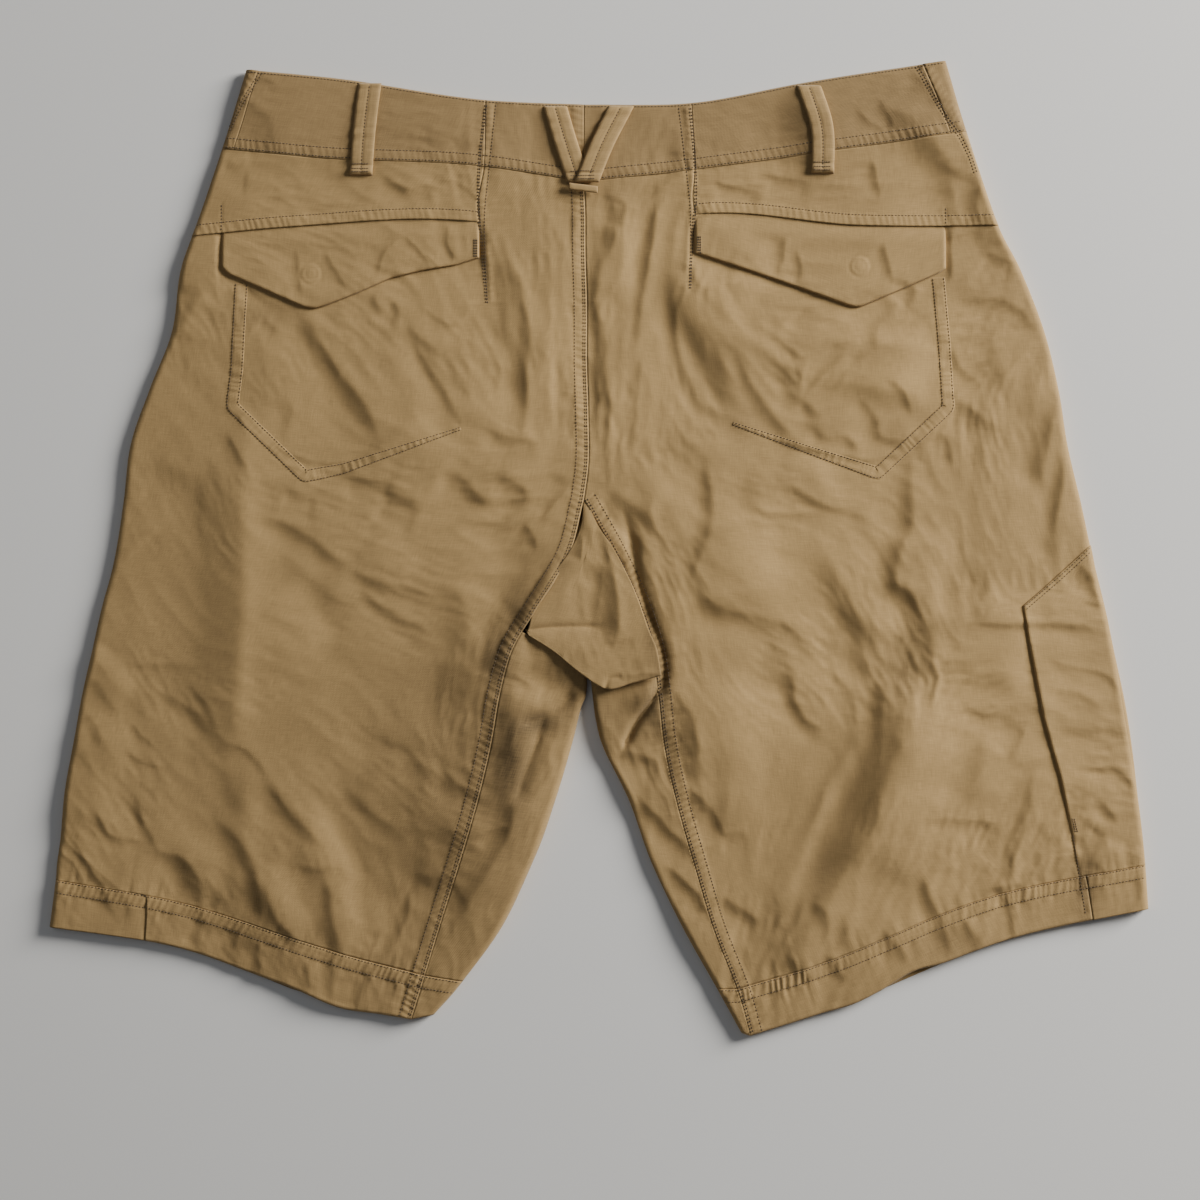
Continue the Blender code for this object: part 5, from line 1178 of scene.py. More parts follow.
def round_edge(points, row):
    """Lowers the first or last row and its neighbours as a quarter circle, the fold of a doubled edge."""
    distance = np.linalg.norm(points[..., :2] - points[row, :, :2], axis=-1)
    points[..., 2] -= FOLDED_EDGE * quarter_round(distance, FOLDED_EDGE) * FOLDED_DROP


def turned(name, node, side, half, rows, columns, reach, bottom, calm, raised, kind="upper", tucked=0.0):
    """A piece that lies flat under the garment, turns round its outer edge as a quarter of an ellipse and
    runs over these columns on top, where its end can dip by a depth under the next piece."""
    edge = half.plan(rows, (EDGE,))
    below = half.plan(rows, np.append(np.linspace(reach - 0.004, 0.2, 14), (0.12, 0.06, 0.03)))
    below = np.dstack((below, np.full(below.shape[:2], bottom)))
    above, crest = lifted(half.plan(rows, columns), calm, raised, outline=edge)
    if tucked:
        above += (np.linspace(0, 1, len(columns))**14)[None, :, None] * (HEM_TUCK_RUN, 0, -tucked)
    turn = rolled_under(edge, unit(above[:, -1:, :2] - edge), bottom, np.linspace(np.pi / 2, 0, 7))
    points = np.concatenate((below, turn, above), axis=1)
    crest = np.pad(crest, ((0, 0), (points.shape[1] - len(columns), 0)))
    piece(name, [node], [f"front_panel_{side}"], points, PLAIN_WALL, crest, kind, coarse=1, upwards=False)


def hems(sizes):
    """Hem bands: back, gusset end and the front band that turns round the side, wavy along their edge."""
    cell = SMALL_CELL * sizes.cell / MM
    for (side, half), join in zip(SIDES, HEM_JOINS):
        rows = half.rows_between(half.row("hem_stitch"), half.row("hem_edge"), cell)
        front = f"hem_front_{side}"
        for part, first, last, width in (("back", join, SEAM, (SEAM - join) * HEM_COLUMN_WIDTH),
                                         ("gusset", SEAM, INSEAM, HEM_GUSSET_WIDTH)):
            grid = wavy_edge(half.plan(rows, columns_between(first, last, width, cell)))
            inner = half.plan(rows, (INSEAM,)) if part == "gusset" else None
            points, crest = lifted(grid, HEM_CALM, HEM_RISE, inner=inner)
            round_edge(points, -1)
            if part == "gusset":
                points, crest = turn_under(points, crest, last=True)
            piece(f"hem_{part}_of_{side}_leg", [f"hem_{part}_{side}"], [front], points, sizes.doubled / MM,
                  crest)
        columns = columns_between(EDGE, join, join * HEM_TURN_COLUMN_WIDTH, sizes.cell / MM, 1)[1:]
        turned(f"hem_front_of_{side}_leg", front, side, half, rows, columns, INSEAM, 0.0, HEM_CALM, HEM_RISE,
               tucked=HEM_TUCK if half is LEFT else 0.0)


def wavy_edge(grid):
    """A hem's plan with its lower edge moved up and down by bell curves over the table of waves."""
    down = np.linspace(0, 1, len(grid))[:, None]
    for x, width, rise in HEM_WAVES:
        grid[..., 1] += rise * down * np.exp(-((grid[..., 0] - x) / width)**2)
    return grid


def gussets(sizes):
    """Gusset: two strips down the inner legs, and the centre."""
    cell = SMALL_CELL * sizes.cell / MM
    for side, half in SIDES:
        rows = half.rows_between(half.row("thigh_1", 14), half.row("hem_stitch"), cell)
        columns = columns_between(SEAM, INSEAM, STRIP_WIDTH, cell)
        points, crest = lifted(half.plan(rows, columns), inner=half.plan(rows, (INSEAM,)))
        points, crest = turn_under(points, crest, last=True)
        piece(f"gusset_strip_{side}", [f"gusset_{side}"], [f"front_panel_{side}"], points, sizes.cloth / MM,
              crest, turn=0.1)
    gusset_centre()


def gusset_centre():
    """Gusset centre: a loft through its table of rows with folds of its own, its lower edge turned under."""
    table = np.array([row[1:] for row in GUSSET_CENTRE], float)
    knots, columns = np.arange(len(table), dtype=float), np.arange(table.shape[1], dtype=float)
    lines = smooth(np.linspace(0, knots[-1], 151), knots, table)
    grid = smooth(np.linspace(0, columns[-1], 96), columns, lines.swapaxes(0, 1)).swapaxes(0, 1)
    x, y = grid[..., 0], grid[..., 1]
    creases = fold_field(x, y, FACET_FOLDS) + troughs(x, y, FACET_TROUGHS) + crumple(x, y, FACET_CRUMPLE)
    grid[..., 2] += creases * ease(np.linspace(0, 1, len(grid)) / 0.15)[:, None]
    outwards = unit((grid[-1] - grid[-12]) * (1, 1, 0))
    out, down = FACET_TURN
    under = [grid[-1] + out * np.sin(angle) * outwards + (0, 0, -down * (1 - np.cos(angle)))
             for angle in np.linspace(0, np.pi, 8)[1:]]
    under += [under[-1] - share * FACET_OVERHANG * outwards for share in (0.4, 0.7, 1.0)]
    grid = np.concatenate((grid, np.stack(under)))
    piece("gusset_facet", ["gusset_centre"], ["gusset_left", "gusset_right"], grid, FACET_WALL, turn=0.2)


def flaps(sizes):
    """Pocket flaps: a sheet between the yoke seam and a pointed lower edge, its rim rounded down, with the
    ring of a snap pressed through it."""
    wall = sizes.doubled / MM
    for number, (side, half, edge, snap) in enumerate((("left", LEFT, LEFT_FLAP_EDGE, LEFT_SNAP),
                                                       ("right", RIGHT, RIGHT_FLAP_EDGE, RIGHT_SNAP))):
        x = np.linspace(edge[0][0], edge[-1][0], 181)
        seam = half.plan((half.row("yoke_seam", -0.8),), np.linspace(EDGE, DART, 90))[0]
        order = np.argsort(seam[:, 0])
        top = np.interp(x, seam[order, 0], seam[order, 1])
        bottom = flap_bottom(edge, x)
        share = np.linspace(0, 1, 61)[:, None]
        y = top + share * (bottom - top)
        x = np.broadcast_to(x, y.shape)
        hinge = ease((top - y) / FLAP_HINGE)
        z = height(x, y) - FLAP_RECESS + LAYER_GAP + wall * (0.35 + 0.65 * hinge) + FLAP_BULGE * share**2
        ring = np.hypot(x - snap[0], y - snap[1]) / SNAP_RADIUS
        z = z + SNAP_RISE * np.exp(-ring**6)
        for radius, width, depth in SNAP_RINGS:
            z = z - depth * np.exp(-((ring - radius) / width)**2)
        rim = np.minimum(np.minimum(x - edge[0][0], edge[-1][0] - x), y - bottom)
        z = z - FLAP_RIM[1] * quarter_round(rim, FLAP_RIM[0])
        pucker = FLAP_PUCKER * wander(x, FLAP_PUCKER_LENGTH, 11 + number)
        z = z + np.exp(-(y - bottom) / FLAP_PUCKER_REACH) * pucker
        piece(f"pocket_flap_{side}", [f"flap_{side}"], [f"back_panel_{side}"], np.dstack((x, y, z)), wall,
              turn=0.06)


def pocket_band(line):
    """Width of a pocket's stitched edge along its line: even, then narrowing to its inner end."""
    run = lengths_along(line)
    return POCKET_BAND * (POCKET_NARROW + (1 - POCKET_NARROW) * np.clip((run[-1] - run) / POCKET_TAPER, 0, 1))


def left_of(line):
    """Unit vectors to the left of a line of plan points."""
    tangent = unit(np.gradient(line, axis=0))
    return np.stack((-tangent[:, 1], tangent[:, 0]), axis=1)


def back_pockets():
    """Edges of the pocket bags: a narrow band carried along its line on the back panel, with a row of
    stitches near each side and puckers between them."""
    for side, edge in POCKET_EDGES:
        line = bent(edge, 0.9, 0.7)
        line = line[:(len(line) - 1) // COARSE * COARSE + 1]
        t = np.linspace(-0.5, 0.5, 16)
        band = pocket_band(line)[:, None]
        grid = line[:, None] + (t * band)[:, :, None] * left_of(line)[:, None]
        base, _ = lifted(grid, under_flap=True)
        run = lengths_along(line)[:, None]
        wave = np.cos(2 * np.pi * (run / POCKET_LADDER + 0.8 * wander(run, 9, 21)))
        inside = 0.5 - np.abs(t)
        wave = wave * (0.7 + 0.5 * wander(run, 12, 22)) * ease(inside / 0.12)
        rows = STITCH_GROOVE * np.exp(-((np.abs(t) - POCKET_ROW) * band / GROOVE_WIDTH)**2)
        base[..., 2] += POCKET_RISE * ease(inside / 0.08) + POCKET_PUCKER * wave - rows - 0.05
        piece(f"pocket_edge_{side}", [f"back_pocket_{side}"], [f"back_panel_{side}"], base, POCKET_WALL,
              wave * 0.7)


def belt_loops(sizes):
    """Belt loops: a folded strip carried along an arch over the waistband, tucked over at its top, rolled
    under at its foot, with a row of stitches down its middle and small puckers across it."""
    wall = sizes.doubled / MM
    share = np.linspace(0, 1, 81)
    t = np.linspace(-0.5, 0.5, 21)
    for number, (name, node, top, bend, foot, over) in enumerate(BELT_LOOPS):
        line = curve(share, (top, bend, foot))
        tangent = unit(np.gradient(line, axis=0))
        side = np.column_stack((np.abs(1 / tangent[:, 1]), np.zeros(len(line))))
        grid = line[:, None] + t[None, :, None] * LOOP_WIDTH * side[:, None]
        run = lengths_along(line)[:, None]
        left = run[-1] - run
        lift = TOP_RISE + LOOP_CLEARANCE + wall + LOOP_LIFT * np.sin(np.pi * share)**0.7 + over * share
        z = (height(line[:, 0], line[:, 1], BAND_CALM) + lift)[:, None]
        wave = wander(run, 4.2, 31 + number) + 0.4 * np.cos(2 * np.pi * run / 9 + 7 * t)
        z = z + LOOP_PUCKER * wave * (0.5 + np.abs(t)) * ease(run / 1.5) * ease(left / 1.2)
        z = z - 0.3 * np.exp(-(t * LOOP_WIDTH / 0.9)**2) - 0.9 * np.abs(2 * t)**8
        z = z + LOOP_ROLL[1] * np.exp(-((left - 2.5) / 2.6)**2)
        z = z - 0.35 * np.exp(-((left - LOOP_ROLL[0]) / 0.7)**2)
        for end, (radius, drop) in zip((run, left), LOOP_ENDS):
            z = z - drop * quarter_round(end, radius)
        piece(name, [node], ["waistband_back_centre_left"], np.dstack((grid, z)), wall, kind="loop")
    crossed_bar()
    for name, node, x, y in FRONT_LOOPS:
        across, down = np.meshgrid(x + np.linspace(-0.5, 0.5, 6) * LOOP_WIDTH,
                                   y - np.linspace(0, 1, 11) * FRONT_LOOP_LENGTH)
        points = np.dstack((across, down, np.full(across.shape, PLAIN_WALL)))
        piece(name, [node], ["waistband_front_left"], points, PLAIN_WALL, kind="loop")


def crossed_bar():
    """The folded bar that ties the two crossed loops at their foot, rounded off on all sides."""
    middle_x, middle_y, length, width, lift = CROSSED_BAR
    across, down = np.meshgrid(np.linspace(-1, 1, 31), np.linspace(1, -1, 13))
    x, y = middle_x + across * length / 2, middle_y + down * width / 2 - 1.2 * across
    z = height(x, y, BAND_CALM) + lift - 0.8 * down**4 - 0.5 * across**8 + 0.2 * wander(x, 4, 61)
    bar, _ = shell("loop_crossed_bar", np.dstack((x, y, z)), PLAIN_WALL, coarse=2)
    bar.data.materials.append(canvas("loop"))
    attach(bar, "root")
    WITH["loop_crossed_right"] = [bar]


def turned_below(edge, distance):
    """Plan points on the under layer, at a distance from the outline points of the cargo pocket."""
    first, last = CARGO_POCKET[0][1][1], CARGO_POCKET[-1][1][1]
    share = np.clip((first - edge[:, 1:]) / (first - last), 0, 1)
    return edge - distance * np.concatenate((np.ones_like(share), CARGO_HEM_SLOPE * share), axis=1)


def cargo_pocket():
    """Cargo pocket: a patch between the outline and its open back edge, which stands off the leg in an arch,
    carried on round the side of the leg and flat under it."""
    table = np.array([row[1:] for row in CARGO_POCKET], float)
    knots = lengths_along(table).mean(axis=1)
    fine = np.linspace(0, knots[-1], 191)
    edge, opening = smooth(fine, knots, table[:, 0]), straight(fine, knots, table[:, 1])
    place = np.interp(fine, knots, np.arange(len(knots)))
    run_in = (fine[-1] - fine) / CARGO_RUN_IN
    shares = np.linspace(0, 1, 46)[1:]
    shares = shares - 0.08 * (1 - np.exp(-shares / 0.1)) * (1 - shares)
    above = edge[:, None] + shares[None, :, None] * (opening - edge)[:, None]
    x, y = above[..., 0], above[..., 1]
    stands_open = np.clip(np.minimum(place - CARGO_OPEN[0], CARGO_OPEN[1] - place) / 1.2, 0, 1)[:, None]
    lift = CARGO_SEAM_LIFT * ease(run_in)[:, None] + CARGO_LIFT * ease(stands_open) * shares**3
    add, crest = seam_relief(x, y)
    lip = np.linalg.norm(above - opening[:, None], axis=-1)
    z = height(x, y) + lift + add - CARGO_RIM[1] * quarter_round(lip, CARGO_RIM[0])
    z = rolled(z, np.linalg.norm(above - edge[:, None], axis=-1))
    inwards = unit(opening - edge)
    inwards[:6] = (-1, 0)
    turn = rolled_under(edge[:, None], inwards[:, None], 0.0, np.linspace(np.pi / 2, 0, 7))
    inner = np.append(CARGO_TURN_UNDER, CARGO_UNDER_STEPS)
    below = np.stack([turned_below(edge, step) for step in inner], axis=1)
    below[..., 1] -= (CARGO_TOP_GAP + CARGO_TOP_SLOPE * inner) * np.exp(-fine / CARGO_RUN_IN)[:, None]
    below = np.dstack((below, np.zeros(below.shape[:2])))
    points = np.concatenate((below, turn, np.dstack((above, z))), axis=1)
    crest = np.pad(crest, ((0, 0), (points.shape[1] - len(shares), 0)))
    piece("cargo_pocket_on_leg", ["cargo_pocket_right"], ["back_panel_right", "front_panel_right"], points,
          PLAIN_WALL, crest, coarse=1, upwards=False, turn=0.1)


def under_layer():
    """Under layer: front panels, fly placket and left cargo pocket, flat on the floor side by side."""
    for side, half in SIDES:
        rows = half.rows_between(half.row("band_seam", 1.0), half.row("hem_stitch", -1.2), 7, 1)
        outer, middle, inner = np.linspace(0, 0.7, 8), np.linspace(0.7, 2.35, 16), np.linspace(2.35, 4, 14)
        grid = evened(half.plan(rows, np.concatenate((outer, middle[1:], inner[1:]))), 22)
        grid[:, 0] = inset_points(half, rows, UNDER_INSET)
        cut = np.zeros((grid.shape[0] - 1, grid.shape[1] - 1), bool)
        if half is LEFT:
            first, last = np.searchsorted(rows, (half.row("crotch"), half.row("leg_2")))
            fly = np.searchsorted(rows, half.row("dart_end", 30))
            cut[first:last, :7] = True
            cut[:fly, 22:] = True
            flat("cargo_pocket_under_leg", "cargo_pocket_left", grid[first:last + 1, :8])
            flat("placket", "fly_placket", centre_gap(grid, half, rows)[:fly + 1, 22:])
        else:
            covered = rows >= half.row("crotch")
            edge = turned_below(half.plan(rows, (EDGE,))[covered, 0], CARGO_TURN_UNDER + UNDER_INSET)
            span = grid[covered, 7] - edge
            grid[covered, :8] = edge[:, None] + np.linspace(0, 1, 8)[None, :, None] * span[:, None]
        flat(f"panel_front_{side}", f"front_panel_{side}", centre_gap(grid, half, rows), cut)


def inset_points(half, rows, distance):
    """The outline of a half, moved in by a distance along its rows."""
    edge, inner = half.plan(rows, (EDGE, 0.05)).swapaxes(0, 1)
    return edge + distance * unit(inner - edge)


def evened(grid, first):
    """The grid with its columns from the first one on spread evenly along each row."""
    grid = grid.copy()
    for row in grid:
        knots = lengths_along(row[first:])
        row[first:] = straight(np.linspace(0, knots[-1], len(knots)), knots, row[first:])
    return grid


def centre_gap(grid, half, rows):
    """The grid with its last column moved off the centre front line above the legs."""
    grid = grid.copy()
    upper = rows < half.row("thigh_2")
    grid[upper, -1] += CENTRE_INSET * unit(grid[upper, -2] - grid[upper, -1])
    return grid


def flat(name, node, grid, cut=None):
    """A piece of the under layer, flat on the floor."""
    points = np.dstack((grid, np.full(grid.shape[:2], UNDER_WALL)))
    piece(name, [node], [], points, UNDER_WALL, kind="under", cut=cut, coarse=1)


# ---------------------------------------------------------------- stitching
def look_down(names, points):
    """Heights of the named pieces under plan points, looked for straight down; NaN beside them."""
    trees = []
    for name in names:
        mesh = bpy.data.objects[name].data
        co = np.empty(len(mesh.vertices) * 3, np.float32)
        mesh.vertices.foreach_get("co", co)
        mesh.calc_loop_triangles()
        corners = np.empty(len(mesh.loop_triangles) * 3, np.int32)
        mesh.loop_triangles.foreach_get("vertices", corners)
        trees.append(BVHTree.FromPolygons(co.reshape(-1, 3).tolist(), corners.reshape(-1, 3).tolist()))
    down = Vector((0, 0, -1))
    found = []
    for x, y in points * MM:
        hits = [tree.ray_cast(Vector((x, y, LOOK_FROM)), down)[0] for tree in trees]
        found.append(max((hit.z for hit in hits if hit is not None), default=np.nan) / MM)
    return np.array(found)


def stitch_row(line, pitch, length):
    """Both ends of the stitches every pitch along a line of plan points."""
    starts = lengths_along(line)
    at = np.arange(pitch / 2, starts[-1], pitch)
    return np.stack([straight(at + shift * length / 2, starts, line) for shift in (-1, 1)], axis=1)


def thread_piece(name, ends, bases, sizes):
    """Stitches as one mesh: each is a spindle of 24 faces from one end to the other, sunk at both."""
    z = look_down(bases, ends.reshape(-1, 2)).reshape(-1, 2)
    whole = np.isfinite(z).all(axis=1) & (np.abs(z[:, 0] - z[:, 1]) < 1.5)
    start = np.dstack((ends[whole], z[whole][..., None]))
    middle, reach = start.mean(axis=1), (start[:, 1] - start[:, 0]) / 2
    direction = unit(reach)
    sideways = unit(np.cross((0, 0, 1.0), direction))
    upwards = np.cross(direction, sideways)
    radius = sizes.thread / MM / 2
    ring = np.arange(6)
    shape = [(-1.0, 0, 0, -0.18)]
    for at, wide, rise in STITCH_RINGS:
        shape += [(at, wide * np.cos(turn), wide * np.sin(turn), rise) for turn in ring * np.pi / 3]
    shape.append((1.0, 0, 0, -0.18))
    shape = np.array(shape)[None]
    points = (middle[:, None] + reach[:, None] * shape[..., :1] + sideways[:, None] * radius * shape[..., 1:2]
              + upwards[:, None] * (radius * shape[..., 2:3] + shape[..., 3:4]))
    following = (ring + 1) % 6
    caps = np.concatenate((np.column_stack((0 * ring, 1 + following, 1 + ring)),
                           np.column_stack((0 * ring + 19, 13 + ring, 13 + following))))
    quads = np.concatenate([base + np.column_stack((ring, following, 6 + following, 6 + ring))
                            for base in (1, 7)])
    shift = (np.arange(len(points)) * 20)[:, None, None]
    faces = [(caps + shift).reshape(-1, 3), (quads + shift).reshape(-1, 4)]
    item = mesh_object(name, points.reshape(-1, 3), faces)
    item.data.materials.append(thread_material())
    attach(item, "root")
    return item


def sew(name, rows, base, sizes):
    """One thread piece for the rows on a piece, kept with it."""
    WITH.setdefault(base, []).append(thread_piece(f"stitching_{name}", np.concatenate(rows), [base], sizes))


def stitching(sizes):
    """All rows of stitches: beside the seams, along flaps' ends, pockets, loops and the cargo pocket."""
    pitch, length = sizes.stitch_pitch / MM, sizes.stitch_length / MM
    for side, edge in POCKET_EDGES:
        line = bent(edge)
        shift = POCKET_ROW * pocket_band(line)[:, None] * left_of(line)
        rows = [stitch_row(line - shift, pitch, length), stitch_row(line + shift, pitch, length)]
        sew(f"pocket_{side}", rows, f"pocket_edge_{side}", sizes)
    for name, _, top, bend, foot, _ in BELT_LOOPS:
        rows = [stitch_row(curve(np.linspace(0.03, 0.95, 40), (top, bend, foot)), pitch, length)]
        foot_line = np.array(foot) + ((-6, LOOP_ROLL[0]), (6, LOOP_ROLL[0]))
        rows += [stitch_row(foot_line + (0, shift), *TACK_STITCH) for shift in (-4.4, -2.2, 0.8)]
        sew(name, rows, name, sizes)
    for side, x, top, bottom in FLAP_TACKS:
        rows = [stitch_row(np.array(((x + shift, top), (x + shift, bottom))), 1.7, 1.6)
                for shift in (-1, 0, 1)]
        sew(f"flap_{side}", rows, f"pocket_flap_{side}", sizes)
    seam_stitching(sizes, pitch, length)


def seam_stitching(sizes, pitch, length):
    """The rows beside the seams, one thread piece for each group of like seams."""
    panels, strips, yoke_names = ([f"{part}_{side}" for side, _ in SIDES]
                                  for part in ("panel_back", "gusset_strip", "yoke_back"))
    bands = [f"band_{part}_{side}" for side, _ in SIDES for part in ("side", "centre", "front")]
    hem_names = [f"hem_{part}_of_{side}_leg" for side, _ in SIDES for part in ("back", "gusset", "front")]
    upper = bands + yoke_names + panels
    groups = {
        # group: piece that it is kept with, pieces that it lies on
        "waist": ("band_side_left", upper),
        "band": ("band_side_right", upper),
        "yoke": ("yoke_back_left", yoke_names),
        "centre": ("panel_back_left", panels),
        "inner": ("panel_back_right", panels + strips + hem_names),
        "hem": ("hem_back_of_left_leg", hem_names + panels + strips),
        "dart": ("band_centre_left", upper),
        "side": ("band_front_left", upper),
        "cargo": ("cargo_pocket_on_leg", ["cargo_pocket_on_leg"] + panels + hem_names),
    }
    rows_of = {name: [] for name in groups}
    for name, kind, where, side, rows, _, _, _ in SEAMS:
        line = seam_line(kind, where)
        for row in rows:
            rows_of[name.split("_")[0]].append(stitch_row(line + side * row * left_of(line), pitch, length))
    rows_of["cargo"] += [stitch_row(np.array(BAR_TACK) + (shift, 0), *TACK_STITCH) for shift in (0, 1.4)]
    for name, (host, bases) in groups.items():
        item = thread_piece(f"stitching_{name}", np.concatenate(rows_of[name]), bases, sizes)
        WITH.setdefault(host, []).append(item)


# ---------------------------------------------------------------- materials
YARN_ACROSS = 1500.0       # how fine the yarn's unevenness is across it
YARN_ALONG = 110.0         # and along it


def node(tree, kind, inputs, **properties):
    """A shader node with these properties, its inputs fed by sockets or set to values."""
    made = tree.nodes.new("ShaderNode" + kind)
    for name, value in properties.items():
        setattr(made, name, value)
    for name, value in inputs.items():
        if isinstance(value, bpy.types.NodeSocket):
            tree.links.new(value, made.inputs[name])
        else:
            made.inputs[name].default_value = value
    return made


def maths(tree, operation, first, second=None):
    """A Math node fed by sockets or numbers; its output."""
    inputs = {0: first} if second is None else {0: first, 1: second}
    return node(tree, "Math", inputs, operation=operation).outputs[0]


def spread(tree, vector, scale, detail, stretch=(1.0, 1.0, 1.0)):
    """Noise over a stretched vector; its factor output."""
    place = node(tree, "Mapping", {"Vector": vector, "Scale": stretch}).outputs[0]
    return node(tree, "TexNoise", {"Vector": place, "Scale": scale, "Detail": detail}).outputs["Fac"]


def group(name, inputs, outputs):
    """A shader node group: (name, kind, default) for each input, (name, kind) for each output."""
    tree = bpy.data.node_groups.new(name, "ShaderNodeTree")
    for title, kind, default in inputs:
        socket = tree.interface.new_socket(title, in_out="INPUT", socket_type="NodeSocket" + kind)
        if default is not None:
            socket.default_value = default
    for title, kind in outputs:
        tree.interface.new_socket(title, in_out="OUTPUT", socket_type="NodeSocket" + kind)
    return tree, tree.nodes.new("NodeGroupInput").outputs, tree.nodes.new("NodeGroupOutput").inputs


def weave_group():
    """Plain weave: two crossed sines of the weave coordinates for the threads that pass over and under,
    and noise drawn out along each direction for uneven yarn."""
    if "canvas_weave" in bpy.data.node_groups:
        return bpy.data.node_groups["canvas_weave"]
    tree, given, out = group("canvas_weave", (("Vector", "Vector", None), ("Threads", "Float", 2000.0)),
                             (("Height", "Float"), ("Yarn", "Float")))
    split = node(tree, "SeparateXYZ", {0: given["Vector"]})
    waves = []
    for axis in (0, 1):
        threads = maths(tree, "MULTIPLY", split.outputs[axis], given["Threads"])
        waves.append(maths(tree, "SINE", maths(tree, "MULTIPLY", threads, np.pi)))
    over = maths(tree, "MULTIPLY", *waves)
    warp = spread(tree, given["Vector"], 1.0, 3.0, (YARN_ACROSS, YARN_ALONG, 1.0))
    weft = spread(tree, given["Vector"], 1.0, 3.0, (YARN_ALONG, YARN_ACROSS, 1.0))
    yarn = maths(tree, "MULTIPLY", maths(tree, "ADD", warp, weft), 0.5)
    tree.links.new(maths(tree, "ADD", maths(tree, "MULTIPLY", over, 0.35), yarn), out["Height"])
    tree.links.new(yarn, out["Yarn"])
    return tree


def wear_and_painted_light_group():
    """Washed and worn colour: lighter on the crests of puckers, darker in their valleys, slow mottling, and
    the yarn's own unevenness; with painted light and shade added from its mask."""
    if "canvas_wear_and_painted_light" in bpy.data.node_groups:
        return bpy.data.node_groups["canvas_wear_and_painted_light"]
    tree, given, out = group(
        "canvas_wear_and_painted_light",
        (("Vector", "Vector", None), ("Crest", "Float", 0.0), ("Yarn", "Float", 0.5), ("Faded", "Float", 0.0),
         ("Colour", "Color", None), ("Wear", "Float", 0.12)),
        (("Colour", "Color"),))
    shade = maths(tree, "MULTIPLY", given["Crest"], given["Wear"])
    for uneven, strength in ((spread(tree, given["Vector"], 22.0, 4.0), 0.14),
                             (spread(tree, given["Vector"], 5.0, 2.0), 0.12),
                             (given["Yarn"], 0.9)):
        part = maths(tree, "MULTIPLY", maths(tree, "SUBTRACT", uneven, 0.5), strength)
        shade = maths(tree, "ADD", shade, part)
    # painted light and shade: the mask lightens or darkens the colour
    factor = maths(tree, "ADD", maths(tree, "ADD", shade, given["Faded"]), 1.0)
    scaled = node(tree, "VectorMath", {0: given["Colour"], "Scale": factor}, operation="SCALE")
    tree.links.new(scaled.outputs[0], out["Colour"])
    return tree


def principled(name, **inputs):
    """A new material and its shader, whose inputs are set; an underscore in a name stands for a space."""
    material = bpy.data.materials.new(name)
    material.use_nodes = True
    shader = material.node_tree.nodes["Principled BSDF"]
    for title, value in inputs.items():
        shader.inputs[title.replace("_", " ")].default_value = value
    return material, shader


def worn_and_painted_colour(tree, colour, **inputs):
    """The colour after washing and wear, with painted light and shade where a mask is given, over the
    object's own coordinates.
    """
    inputs.update(Colour=colour, Vector=node(tree, "TexCoord", {}).outputs["Object"])
    return node(tree, "Group", inputs, node_tree=wear_and_painted_light_group()).outputs[0]


def canvas(kind):
    """Matt canvas for the upper layer, the waistband, the under layer or the loops, made once each."""
    name = CLOTHS[kind][0]
    if name in bpy.data.materials:
        return bpy.data.materials[name]
    material, shader = principled(name, Roughness=0.82, Specular_IOR_Level=0.25, Sheen_Weight=0.12,
                                  Sheen_Roughness=0.5)
    tree = material.node_tree
    laid = node(tree, "UVMap", {}, uv_map="weave").outputs[0]
    threads = 1 / bpy.context.scene.shorts_sizes.weave
    weave = node(tree, "Group", {"Vector": laid, "Threads": threads}, node_tree=weave_group())
    # the painted light and shade mask darkens or lightens the canvas colour
    crest, painted_light_shade = (node(tree, "Attribute", {}, attribute_name=title).outputs["Fac"]
                    for title in ("crest", "painted_light_shade"))
    worn_and_painted = worn_and_painted_colour(tree, getattr(bpy.context.scene.shorts_colours, kind), Crest=crest, Faded=painted_light_shade,
                       Yarn=weave.outputs["Yarn"])
    bump = node(tree, "Bump", {"Distance": 0.0002, "Strength": 0.5, "Height": weave.outputs["Height"]})
    tree.links.new(worn_and_painted, shader.inputs["Base Color"])
    tree.links.new(bump.outputs[0], shader.inputs["Normal"])
    return material


def thread_material():
    """Matt sewing thread, its colour a little uneven along the rows."""
    if "sewing_thread" in bpy.data.materials:
        return bpy.data.materials["sewing_thread"]
    material, shader = principled("sewing_thread", Roughness=0.6, Sheen_Weight=0.1)
    worn_and_painted = worn_and_painted_colour(material.node_tree, bpy.context.scene.shorts_colours.thread)
    material.node_tree.links.new(worn_and_painted, shader.inputs["Base Color"])
    return material


# ---------------------------------------------------------------- stage, metres
FLOOR_REACH = 4.0
FLOOR_HEIGHT = -0.0003
FRAME_MIDDLE = (0.00066, -0.0341)    # point of the floor in the middle of the view
LIGHTS = (
    # name, bearing and height in degrees, distance, size, power, tint
    ("key_light", 62, 21.5, 3.2, 1.5, 222.0, (1.0, 0.97, 0.92)),
    ("fill_light", -70, 60, 2.4, 2.0, 4.0, (0.94, 0.97, 1.0)),
)


